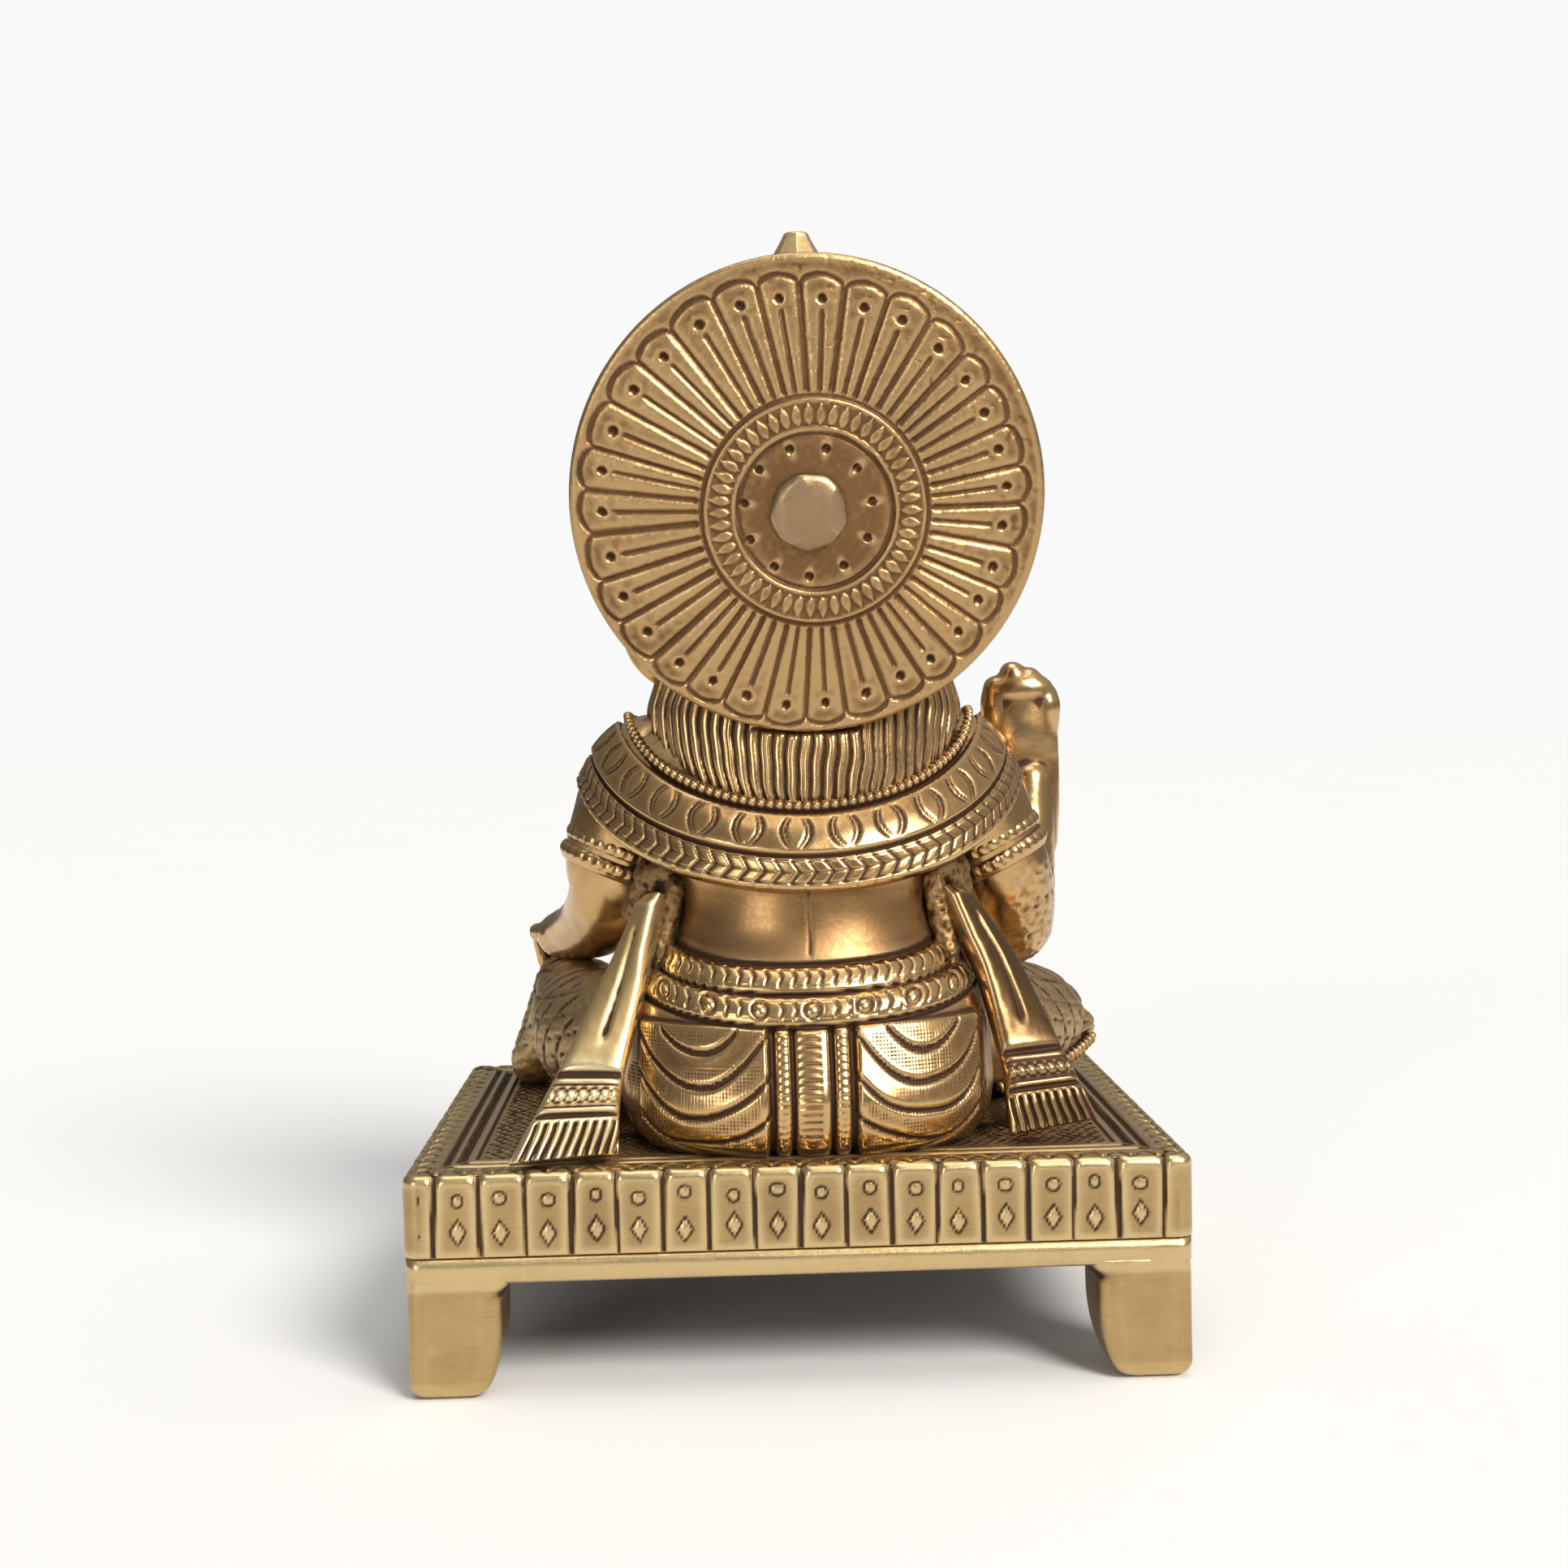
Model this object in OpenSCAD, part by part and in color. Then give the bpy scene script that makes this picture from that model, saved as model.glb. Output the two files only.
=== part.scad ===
// Seated elephant-headed figure in brass on a four-legged stool, with a halo disc
// riveted behind its crown. Millimetres, +Z up, the figure faces -Y. The origin is
// on the floor, at the centre of the stool's footprint.

/* [Stool] */
// Width of the stool, side to side
stool_w = 125; // [112:1:150]
// Depth of the stool, front to back
stool_d = 95; // [94:1:120]
// Height of the deck's top face above the floor
deck_z = 36; // [29:0.5:45]
// Height of the tiled band round the deck
band_h = 13.2; // [10:0.1:16]
// Height of the plain rail under the band
rail_h = 4.2; // [2:0.1:5]
// Thickness of the deck plate
plate_t = 6; // [4:0.5:8]
// Thickness of the apron wall behind the tiles
apron_t = 6; // [4:0.5:8]
// Width of a leg where it meets the rail
leg_w = 15.2; // [12:0.1:18]
// Width of a leg at the floor
foot_w = 10.5; // [8:0.1:12]
// Radius of a leg's outer corner at the floor
foot_r = 2.8; // [1:0.1:4]
// Bevel along the deck's top edge
deck_bevel = 1.2; // [0.5:0.1:2]
// Radius of the stool's upright corners
corner_r = 2.5; // [1.5:0.5:6]
// Distance from one tile groove to the next
tile_pitch = 7.2; // [6:0.1:9]
// Width of a groove between two tiles
groove_w = 0.8; // [0.4:0.1:1.2]
// Depth of a groove between two tiles
groove_t = 0.5; // [0.2:0.1:1]

/* [Figure] */
// Offset of the figure's centre line from the stool's
fig_x = -2.5; // [-4:0.5:4]
// Width across the hips
hip_w = 63; // [52:0.5:66]
// Height of the shoulder joints above the deck
shoulder_z = 54; // [48:0.1:65]
// Distance of each shoulder joint from the centre line
shoulder_x = 28; // [25:0.5:31]
// Radius of the shoulders under the collar
shoulder_r = 12.3; // [10:0.1:14]
// Radius of the elbows
elbow_r = 7.8; // [6:0.1:9]
// Radius of the thighs at the hip
thigh_r = 14; // [11:0.5:16]
// Thickness of the two sash tails
tail_t = 4; // [2.5:0.1:5]

/* [Head] */
// Offset of the head from the figure's centre line
head_dx = -1.5; // [-2:0.5:2]
// Height of the head's widest level above the shoulder joints
head_up = 22; // [20:0.5:26]
// Width of the head at the hair, over the collar
hair_w = 58; // [50:0.5:62]
// Radius of the trunk at its root
trunk_r = 8.5; // [6.5:0.5:9.5]
// Radius of a tusk at its root
tusk_r = 2.6; // [2:0.1:3]

/* [Crown] */
// Height of the crown's foot above the head's widest level
crown_up = 17; // [15:0.5:19]
// Radius of the crown at its foot
crown_r = 20; // [17:0.5:24]
// Height of the crown without its finial
crown_h = 44; // [38:0.5:52]
// Radius of the crown's flat top
crown_top_r = 6; // [5:0.5:8]
// Height of the finial
finial_h = 16.5; // [14:0.5:20]
// Radius of the peg under the finial
peg_r = 2; // [1.5:0.1:2.4]
// Length of the peg under the finial
peg_l = 5; // [4:0.5:7]

/* [Halo] */
// Width of the halo disc
halo_d = 77; // [64:0.5:82]
// Rise of the disc's outline above its rivet hole
halo_lift = 2; // [0:0.5:3]
// Thickness of the disc at its edge
halo_t = 2.4; // [1.6:0.1:3]
// Rise of the disc's face from its edge to its middle
halo_rise = 2; // [1:0.1:3]
// Lean of the disc's top edge, away from the head
halo_tilt = 10; // [6:0.5:12]
// Height of the disc's centre above the crown's foot
halo_up = 11; // [9:0.5:14]
// Outer radius of the raised ring round the rivet
ring_out_r = 17.8; // [15:0.1:20]
// Inner radius of the raised ring
ring_in_r = 12.6; // [11:0.1:14]
// Height of the raised ring
ring_h = 0.8; // [0.4:0.1:1.2]
// Width of the peened rivet head
rivet_d = 12.3; // [10:0.1:14]
// Height of the peened rivet head
rivet_head_t = 3; // [2:0.1:4]
// Width of the rivet's shank
rivet_shank_d = 5; // [4:0.1:6]
// Depth of the shank inside the crown
rivet_grip = 12; // [8:0.5:14]
// Width of the boss between crown and disc
boss_d = 14; // [10:0.5:18]

/* [Fixings] */
// Width of the two studs under the figure
stud_d = 4; // [3:0.5:5]
// Distance between the two studs
stud_gap = 30; // [20:1:36]
// Width of a washer
washer_d = 9; // [8:0.5:12]
// Thickness of a washer
washer_t = 0.8; // [0.5:0.1:1.5]
// Width of a nut across its flats
nut_af = 7; // [6:0.5:9]
// Thickness of a nut
nut_t = 3.2; // [2.4:0.1:4]
// Length of the stud past the nut
stud_end = 1.3; // [1:0.1:3]

/* [Clearances] */
// Gap that the braze fills between two castings
braze_gap = 0.1; // [0.05:0.01:0.2]
// Radial clearance of a stud in its hole in the deck
hole_clear = 0.25; // [0.1:0.05:0.5]
// Radial clearance of the rivet, the finial's peg and the nuts
fit_clear = 0.05; // [0.02:0.01:0.1]

/* [Hidden] */
brass = [0.78, 0.62, 0.36];
pale_brass = [0.86, 0.74, 0.46];
matte_brass = [0.66, 0.54, 0.40];
dark_brass = [0.50, 0.36, 0.20];

large_fn = 24;                        // facets round a large rounded mass
small_fn = 16;                        // facets round fingers, toes and ears
over = 1;                             // how far a cutter runs past what it cuts
rail_z = deck_z - band_h - rail_h;    // underside of the rail
under_plate = deck_z - plate_t;       // underside of the deck plate
leg_bend = rail_z * 0.65;             // height where a leg starts to narrow
hip_dx = 11;                          // centres of the two cheeks
head_z = shoulder_z + head_up;        // the head's widest level, above the deck
crown_z = head_z + crown_up;          // the crown's foot, above the deck
crown_y = 9;                          // the crown's axis stands behind the face
crown_slope = 0.35;                   // the crown narrows this much per mm under its bulge
halo_z = crown_z + halo_up;           // the halo's centre, above the deck
boss_l = 2;                           // the boss's length past the crown
halo_y = crown_y + crown_r + boss_l;  // the disc's inner face, at its centre
hair_back = halo_y - 4.5;             // the hair reaches the leaning disc
hub_t = halo_t + halo_rise;           // the disc's thickness at its centre
studs_y = 7;                          // middle of the two studs

// An ellipsoid about a point, grown by g on every side.
module mass(at, half, g = 0, fn = large_fn)
    translate(at)
        scale([half[0] + g, half[1] + g, half[2] + g])
            sphere(1, $fn = fn);

// Rounded limb through points of [x, y, z, radius].
module limb(points, g = 0, fn = large_fn)
    for (i = [0 : len(points) - 2])
        hull()
            for (p = [points[i], points[i + 1]])
                translate([p[0], p[1], p[2]])
                    sphere(p[3] + g, $fn = fn);

// Puts the figure's own coordinates on the deck.
module on_deck()
    translate([fig_x, 0, deck_z])
        children();

module below_deck()
    translate([-stool_w, -stool_d, -stool_w])
        cube([2 * stool_w, 2 * stool_d, stool_w]);

// Stool: one casting of deck, tiled apron, rail and four legs.

// Right half of the stool's outline: deck edge, leg's straight outside, its rounded
// foot and its curved inside.
function stool_side(half) = concat(
    [[half - deck_bevel, deck_z], [half, deck_z - deck_bevel]],
    [for (a = [0 : 15 : 90])
        [half - foot_r + foot_r * cos(a), foot_r - foot_r * sin(a)]],
    [for (a = [0 : 15 : 90])
        [half - foot_w - (leg_w - foot_w) * sin(a), leg_bend * (1 - cos(a))]],
    [[half - leg_w, rail_z]]);

// Outline of the whole stool from one side, half wide to each side.
module stool_outline(half) {
    side = stool_side(half);
    polygon(concat(side, [for (i = [len(side) - 1 : -1 : 0]) [-side[i][0], side[i][1]]]));
}

// Plan of the stool, with its upright corners rounded.
module stool_plan()
    polygon([for (q = [0 : 3], a = [0 : 15 : 90])
        let (sx = [1, -1, -1, 1][q], sy = [1, 1, -1, -1][q])
            [sx * (stool_w / 2 - corner_r) + corner_r * cos(a + 90 * q),
             sy * (stool_d / 2 - corner_r) + corner_r * sin(a + 90 * q)]]);

// Cuts one face's tile grooves, along X at the face y = -reach.
module tile_grooves(length, reach) {
    count = floor(length / tile_pitch / 2);
    for (i = [-count : count])
        if (abs(i * tile_pitch) < length / 2 - deck_bevel)
            translate([i * tile_pitch - groove_w / 2, -reach - over, deck_z - band_h])
                cube([groove_w, over + groove_t, band_h + over]);
    translate([-length / 2 - over, -reach - over, deck_z - band_h - groove_w / 2])
        cube([length + 2 * over, over + groove_t, groove_w]);
}

module chowki() color(brass)
    difference() {
        intersection() {
            translate([0, stool_d / 2, 0])
                rotate([90, 0, 0])
                    linear_extrude(stool_d)
                        stool_outline(stool_w / 2);
            translate([-stool_w / 2, 0, 0])
                rotate([90, 0, 90])
                    linear_extrude(stool_w)
                        stool_outline(stool_d / 2);
            linear_extrude(deck_z)
                stool_plan();
        }
        // hollow between the apron walls, and the space between the legs
        for (s = [[stool_w - 2 * apron_t, stool_d - 2 * leg_w],
                  [stool_w - 2 * leg_w, stool_d - 2 * apron_t]])
            translate([-s[0] / 2, -s[1] / 2, -over])
                cube([s[0], s[1], under_plate + over]);
        for (a = [0, 180]) {
            rotate(a)
                tile_grooves(stool_w, stool_d / 2);
            rotate(a + 90)
                tile_grooves(stool_d, stool_w / 2);
        }
        for (y = [-1, 1] * stud_gap / 2)
            translate([fig_x, studs_y + y, under_plate - over])
                cylinder(r = stud_d / 2 + hole_clear, h = plate_t + 2 * over, $fn = 48);
    }

// Torso, hips and collar: one casting.

// Levels of the trunk of the body: [centre apart, y, z, half width, half depth, half height]
torso = [[hip_dx, 20, 8, hip_w / 2 - hip_dx, 25, 14],
         [8, 15, 24, 20.5, 23.5, 8],
         [5, 8, shoulder_z - 20, 17, 23, 9],
         [8, 6, shoulder_z - 6, 18, 21, 10]];

// Where the collar lies over one shoulder.
module shoulder(side, g = 0)
    mass([side * shoulder_x, 3, shoulder_z + 7],
         [shoulder_r - 1, shoulder_r - 1, shoulder_r - 4], g);

module body_shape(g = 0) {
    for (i = [0 : len(torso) - 2])
        hull()
            for (side = [-1, 1], t = [torso[i], torso[i + 1]])
                mass([side * t[0], t[1], t[2]], [t[3], t[4], t[5]], g);
    // belly
    hull() {
        mass([0, -8, 19], [25, 24, 16], g);
        mass([0, -10, 30], [24, 23, 15], g);
    }
    // collar from the back's low edge over both shoulders
    for (side = [-1, 1])
        hull() {
            shoulder(side, g);
            mass([0, 16, shoulder_z - 11], [18, 18.5, 4], g);
        }
    // neck, from the collar up
    for (side = [-1, 1])
        hull() {
            shoulder(side, g);
            mass([0, 1, head_z - 12], [21, 19, 6], g);
        }
    hull() {
        mass([0, 16, shoulder_z - 11], [18, 18.5, 4], g);
        mass([0, 1, head_z - 12], [21, 19, 6], g);
    }
}

module body() color(brass)
    on_deck()
        difference() {
            body_shape();
            below_deck();
        }

// Head with its hair and trunk: one casting.

trunk = [[head_dx, -19, head_z + 1, trunk_r], [head_dx, -27, head_z - 9, trunk_r - 0.8],
         [0, -31, head_z - 19, trunk_r - 1.9], [4, -32.5, head_z - 28, trunk_r - 2.8],
         [11, -33.5, head_z - 36, trunk_r - 3.5], [18, -33.5, head_z - 39.5, trunk_r - 4],
         [23, -33, head_z - 36.5, trunk_r - 4.6]];

module head_shape(g = 0) {
    brow = head_z + crown_up / 2;
    hair = hair_w / 2;
    hull() {
        mass([head_dx, 1.5, head_z - 16], [hair - 2.5, hair_back - 2.5, 5], g);
        mass([head_dx, 1.5, head_z], [hair, hair_back - 1.5, 6], g);
    }
    hull() {
        mass([head_dx, 1.5, head_z], [hair, hair_back - 1.5, 6], g);
        mass([head_dx, 3, brow + 3], [22, hair_back - 3.5, 9], g);
    }
    hull() {
        mass([head_dx, -9, head_z + 4], [16, 14, 12], g);
        mass([head_dx, 0, brow + 2], [20, 20, 10], g);
    }
    limb(trunk, g);
}

module head() color(brass)
    on_deck()
        difference() {
            head_shape();
            body_shape(braze_gap);
            translate([-stool_w, -stool_d, crown_z])
                cube([2 * stool_w, 2 * stool_d, stool_w]);
            // the hair is filed flat where the disc passes it
            at_disc()
                translate([0, 0, -braze_gap])
                    cylinder(d = halo_d + over, h = crown_r, $fn = 48);
        }

// Fan-shaped ear, brazed to the side of the head.
module ear(side)
    on_deck()
        difference() {
            translate([head_dx, 0, 0])
                hull() {
                    mass([side * 21, -6, head_z + 7], [4, 2.4, 7], 0, small_fn);
                    mass([side * 29.5, -9, head_z + 9], [4, 1.6, 8], 0, small_fn);
                    mass([side * 25.5, -10, head_z - 2.5], [3, 1.6, 4], 0, small_fn);
                }
            head_shape(braze_gap);
        }

module left_ear() color(brass)
    ear(1);

module right_ear() color(brass)
    ear(-1);

// Tusk beside the trunk's root; the right one is broken short.
module tusk(side, length)
    on_deck()
        difference() {
            limb([[head_dx + side * 10, -18, head_z - 2, tusk_r],
                  [head_dx + side * (10 + length * 0.3), -18 - length * 0.75,
                   head_z - 2 - length * 0.6, tusk_r * 0.6]], 0, small_fn);
            head_shape(braze_gap);
        }

module left_tusk() color(pale_brass)
    tusk(1, 19);

module right_tusk() color(pale_brass)
    tusk(-1, 13);

// Crown, finial and halo.

module at_crown()
    on_deck()
        translate([head_dx, crown_y, crown_z])
            children();

// Local +Z is the disc's outward normal, from the disc's inner face.
module at_disc()
    translate([head_dx, halo_y, halo_z])
        rotate([-90 - halo_tilt, 0, 0])
            children();

module at_halo()
    on_deck()
        at_disc()
            children();

module crown() color(brass)
    difference() {
        union() {
            at_crown()
                rotate_extrude($fn = 72)
                    polygon([[0, 0], [crown_r, 0], [crown_r, 3], [crown_r - 1.5, 5],
                             [crown_r - 0.8, crown_h * 0.3],
                             [crown_r - 3, crown_h * 0.5],
                             [crown_r * 0.6, crown_h * 0.72],
                             [crown_top_r + 1.5, crown_h * 0.9],
                             [crown_top_r, crown_h], [0, crown_h]]);
            at_halo()
                translate([0, 0, -boss_l - crown_r / 2])
                    cylinder(d = boss_d, h = boss_l + crown_r / 2, $fn = 48);
        }
        at_halo()
            translate([0, 0, -rivet_grip])
                cylinder(r = rivet_shank_d / 2 + fit_clear, h = rivet_grip + over, $fn = 48);
        at_crown()
            translate([0, 0, crown_h - peg_l - fit_clear])
                cylinder(r = peg_r + fit_clear, h = peg_l + over, $fn = 48);
    }

module crown_finial() color(pale_brass)
    at_crown()
        translate([0, 0, crown_h]) {
            translate([0, 0, -peg_l])
                cylinder(r = peg_r, h = peg_l + over, $fn = 48);
            rotate_extrude($fn = 48)
                polygon([[0, 0], [crown_top_r - 1, 0], [crown_top_r, finial_h * 0.12],
                         [crown_top_r - 1.5, finial_h * 0.22],
                         [crown_top_r - 0.5, finial_h * 0.45],
                         [crown_top_r - 1.3, finial_h * 0.7], [1.7, finial_h - 1],
                         [1, finial_h], [0, finial_h]]);
        }

// Domed disc with a raised ring, flat behind.
module halo_disc() color(matte_brass)
    at_halo()
        difference() {
            union() {
                // local +Y runs down the disc
                translate([0, -halo_lift, 0])
                    rotate_extrude($fn = 96)
                        polygon([[0, 0], [halo_d / 2, 0], [halo_d / 2, halo_t],
                                 [halo_d * 0.37, halo_t + halo_rise * 0.6],
                                 [halo_d * 0.23, hub_t], [0, hub_t]]);
                cylinder(r = ring_out_r, h = hub_t, $fn = 96);
                rotate_extrude($fn = 96)
                    polygon([[ring_in_r, halo_t], [ring_out_r, halo_t],
                             [ring_out_r - 0.5, hub_t + ring_h],
                             [ring_in_r + 0.5, hub_t + ring_h]]);
            }
            translate([0, 0, -over])
                cylinder(r = rivet_shank_d / 2 + fit_clear, h = hub_t + 2 * over, $fn = 48);
        }

module halo_rivet() color(matte_brass)
    at_halo() {
        translate([0, 0, fit_clear - rivet_grip])
            cylinder(d = rivet_shank_d, h = rivet_grip + hub_t + over, $fn = 48);
        translate([0, 0, hub_t])
            rotate_extrude($fn = 48)
                polygon([[0, 0], [rivet_d / 2, 0], [rivet_d / 2, rivet_head_t * 0.35],
                         [rivet_d * 0.4, rivet_head_t * 0.75],
                         [rivet_d * 0.24, rivet_head_t], [0, rivet_head_t]]);
    }

// Limbs, each cut to seat against what it is brazed to.

left_thigh = [[16, 6, 14, thigh_r], [34, -2, 13, thigh_r - 1.2], [40.5, -17, 16, 8.5],
              [43, -21, 19, 6.3]];
left_shin = [[43, -21, 19, 6.3], [48.5, -25, 9, 5], [50, -25, 4.6, 4.6],
             [52, -40, 3.6, 3.6]];
right_thigh = [[-16, 5, 14, thigh_r], [-31, -6, 13, thigh_r - 1.2], [-45.5, -19, 9.8, 9],
               [-52, -22, 8, 4.6]];
right_shin = [[-45, -20, 8.5, 8.2], [-25, -33, 7, 6.8], [-2, -37.5, 5.5, 5.4],
              [14, -39.5, 4.2, 4.4]];

module left_leg_shape(g = 0) {
    limb(left_thigh, g);
    limb(left_shin, g);
}

module right_leg_shape(g = 0) {
    limb(right_thigh, g);
    limb(right_shin, g);
}

module left_leg() color(matte_brass)
    on_deck()
        difference() {
            left_leg_shape();
            body_shape(braze_gap);
            below_deck();
        }

module right_leg() color(matte_brass)
    on_deck()
        difference() {
            right_leg_shape();
            body_shape(braze_gap);
            below_deck();
        }

// Left arm: down to the elbow, then forward to a hand that rests on the knee.
module left_arm_shape(g = 0) {
    limb([[shoulder_x + 3, 3, shoulder_z - 2, shoulder_r - 2.5],
          [shoulder_x + 7.5, 1, 39.5, elbow_r], [40.5, -13, 31.5, 5],
          [42.5, -18, 29, 4.2]], g);
    for (i = [0 : 3])
        limb([[39.5 + 2.2 * i, -18.5, 28.5 - 0.5 * i, 2.2],
              [41 + 2.2 * i, -26, 26.5 - 0.8 * i, 1.9],
              [42.5 + 1.9 * i, -29.5, 21 - 0.8 * i, 1.6]], g, small_fn);
}

module left_arm() color(brass)
    on_deck()
        difference() {
            left_arm_shape();
            body_shape(braze_gap);
            left_leg_shape(braze_gap);
        }

// Right arm: down to an elbow that rests on the thigh, then up to a raised open hand.
module right_arm_shape(g = 0) {
    limb([[-shoulder_x - 4, 3, shoulder_z - 2, shoulder_r - 2.5],
          [-shoulder_x - 10, 0, 39.5, elbow_r], [-37, -8, 28, elbow_r + 0.4],
          [-40.5, -10, 38, elbow_r - 0.4], [-43, -12.5, 50, 5.4],
          [-44, -14, 58, 4.6]], g);
    // palm
    hull() {
        mass([-44, -14, 60], [5, 3.2, 4], g, small_fn);
        mass([-43, -15, 69], [6.6, 2.6, 3], g, small_fn);
    }
    for (i = [0 : 3])
        limb([[-38.3 - 3.1 * i, -15, 69, 1.8],
              [-38.3 - 3.0 * i, -15.5, [77, 78.6, 78.2, 75.6][i], 1.6]], g, small_fn);
    limb([[-39.5, -16, 62, 2], [-36.8, -18.5, 68.5, 1.6]], g, small_fn);
}

module right_arm() color(brass)
    on_deck()
        difference() {
            right_arm_shape();
            body_shape(braze_gap);
            right_leg_shape(braze_gap);
        }

// Sash tail: a tapering slab from the armpit to the deck beside the hip.
module tail_shape(corners, g = 0)
    hull()
        for (p = corners)
            translate(p)
                sphere(tail_t / 2 + g, $fn = small_fn);

left_tail = [[22, 21, shoulder_z - 13], [27.5, 16, shoulder_z - 14],
             [hip_w / 2 + 1.5, 39, 0.5], [hip_w / 2 + 14, 43, 0.5]];
right_tail = [[-22, 21, shoulder_z - 13], [-28, 14, shoulder_z - 14],
              [-hip_w / 2 - 3.5, 35, 0.5], [-hip_w / 2 - 14, 31, 0.5]];

module left_sash_tail() color(pale_brass)
    on_deck()
        difference() {
            tail_shape(left_tail);
            body_shape(braze_gap);
            left_arm_shape(braze_gap);
            left_leg_shape(braze_gap);
            below_deck();
        }

module right_sash_tail() color(pale_brass)
    on_deck()
        difference() {
            tail_shape(right_tail);
            body_shape(braze_gap);
            right_arm_shape(braze_gap);
            right_leg_shape(braze_gap);
            below_deck();
        }

// Braze metal left proud in the armpit.
module braze_shape(side)
    limb([[side * 24, 19, shoulder_z - 9, 3.6], [side * 29, 12, shoulder_z - 14, 3.8],
          [side * 31, 8, shoulder_z - 18, 3.4]], 0, small_fn);

module left_armpit_braze() color(dark_brass)
    on_deck()
        difference() {
            braze_shape(1);
            body_shape(braze_gap);
            left_arm_shape(braze_gap);
            tail_shape(left_tail, braze_gap);
        }

module right_armpit_braze() color(dark_brass)
    on_deck()
        difference() {
            braze_shape(-1);
            body_shape(braze_gap);
            right_arm_shape(braze_gap);
            tail_shape(right_tail, braze_gap);
        }

// Fixings under the figure: two studs, washers and nuts.

stud_l = plate_t + washer_t + nut_t + stud_end;

module at_studs()
    for (y = [-1, 1] * stud_gap / 2)
        translate([fig_x, studs_y + y, 0])
            children();

module fixing_studs() color(pale_brass)
    at_studs()
        translate([0, 0, deck_z - stud_l])
            cylinder(d = stud_d, h = stud_l, $fn = 48);

module fixing_washers() color(pale_brass)
    at_studs()
        translate([0, 0, under_plate - washer_t])
            difference() {
                cylinder(d = washer_d, h = washer_t, $fn = 48);
                translate([0, 0, -over])
                    cylinder(r = stud_d / 2 + hole_clear, h = washer_t + 2 * over, $fn = 48);
            }

module fixing_nuts() color(pale_brass)
    at_studs()
        translate([0, 0, under_plate - washer_t - nut_t])
            difference() {
                cylinder(d = nut_af / cos(30), h = nut_t, $fn = 6);
                translate([0, 0, -over])
                    cylinder(r = stud_d / 2 + fit_clear, h = nut_t + 2 * over, $fn = 48);
            }

chowki();
body();
head();
left_ear();
right_ear();
left_tusk();
right_tusk();
crown();
crown_finial();
halo_disc();
halo_rivet();
left_arm();
right_arm();
left_leg();
right_leg();
left_sash_tail();
right_sash_tail();
left_armpit_braze();
right_armpit_braze();
fixing_studs();
fixing_washers();
fixing_nuts();
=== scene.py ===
import bpy
import mathutils
import numpy as np
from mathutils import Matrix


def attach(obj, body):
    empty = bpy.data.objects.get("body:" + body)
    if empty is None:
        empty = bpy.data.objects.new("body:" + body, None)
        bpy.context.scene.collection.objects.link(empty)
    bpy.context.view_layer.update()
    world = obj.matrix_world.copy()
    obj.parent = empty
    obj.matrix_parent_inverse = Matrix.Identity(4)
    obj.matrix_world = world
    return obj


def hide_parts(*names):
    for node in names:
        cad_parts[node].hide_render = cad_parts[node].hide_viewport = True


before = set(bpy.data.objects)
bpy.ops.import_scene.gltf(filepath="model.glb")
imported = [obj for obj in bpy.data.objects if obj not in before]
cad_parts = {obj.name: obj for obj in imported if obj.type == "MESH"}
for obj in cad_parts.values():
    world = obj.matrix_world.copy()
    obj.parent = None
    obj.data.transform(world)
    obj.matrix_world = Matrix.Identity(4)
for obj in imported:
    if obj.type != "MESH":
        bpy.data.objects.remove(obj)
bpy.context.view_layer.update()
print("frame loaded:", len(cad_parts), "nodes")

mm = 0.001
pi = np.pi
figureX, deckZ = -2.5, 36.0          # the figure stands here on the deck, in mm
headX = -1.5                         # the head, crown and halo stand here across the figure, in mm
rng = np.random.default_rng(7)

# every surface below is in mm; meshFrom turns it into metres


def gridFaces(rows, cols, wrap=True):
    # corners of cell (r, c): itself, the next in the row, the one above that, the one above itself
    r = np.arange(rows - 1)[:, None]
    c = np.arange(cols if wrap else cols - 1)[None, :]
    n = (c + 1) % cols
    return np.stack([r * cols + c, r * cols + n, (r + 1) * cols + n, (r + 1) * cols + c], -1).reshape(-1, 4)


def loft(points):
    # points is rows x cols x 3, a closed ring in each row; each open end is closed with a fan about the
    # mean of its row, and the faces end up outwards
    rows, cols = points.shape[:2]
    top, middle = (rows - 1) * cols, rows * cols
    c = np.arange(cols)
    n = (c + 1) % cols
    flat = np.vstack([points.reshape(-1, 3), points[0].mean(0), points[-1].mean(0)])
    low, high = np.full(cols, middle), np.full(cols, middle + 1)
    tris = np.vstack([np.stack([low, n, c], -1), np.stack([high, top + c, top + n], -1)])
    return outward({"points": flat, "quads": gridFaces(rows, cols), "tris": tris})


def outward(shell):
    # volume is a sixth of the sum of a.(b x c) over the triangles; a negative one is inside out
    q, p = shell["quads"], shell["points"]
    t = np.vstack([q[:, [0, 1, 2]], q[:, [0, 2, 3]], shell["tris"]])
    volume = np.einsum("ij,ij->i", p[t[:, 0]], np.cross(p[t[:, 1]], p[t[:, 2]])).sum()
    if volume < 0:
        shell = {"points": p, "quads": q[:, ::-1], "tris": shell["tris"][:, ::-1]}
    return shell


def joined(shells):
    # several closed shells as one: each shell's corner numbers move up by the points before it
    counts = np.cumsum([0] + [len(s["points"]) for s in shells])
    return {"points": np.vstack([s["points"] for s in shells]),
            "quads": np.vstack([s["quads"] + k for s, k in zip(shells, counts)]),
            "tris": np.vstack([s["tris"] + k for s, k in zip(shells, counts)])}


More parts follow.
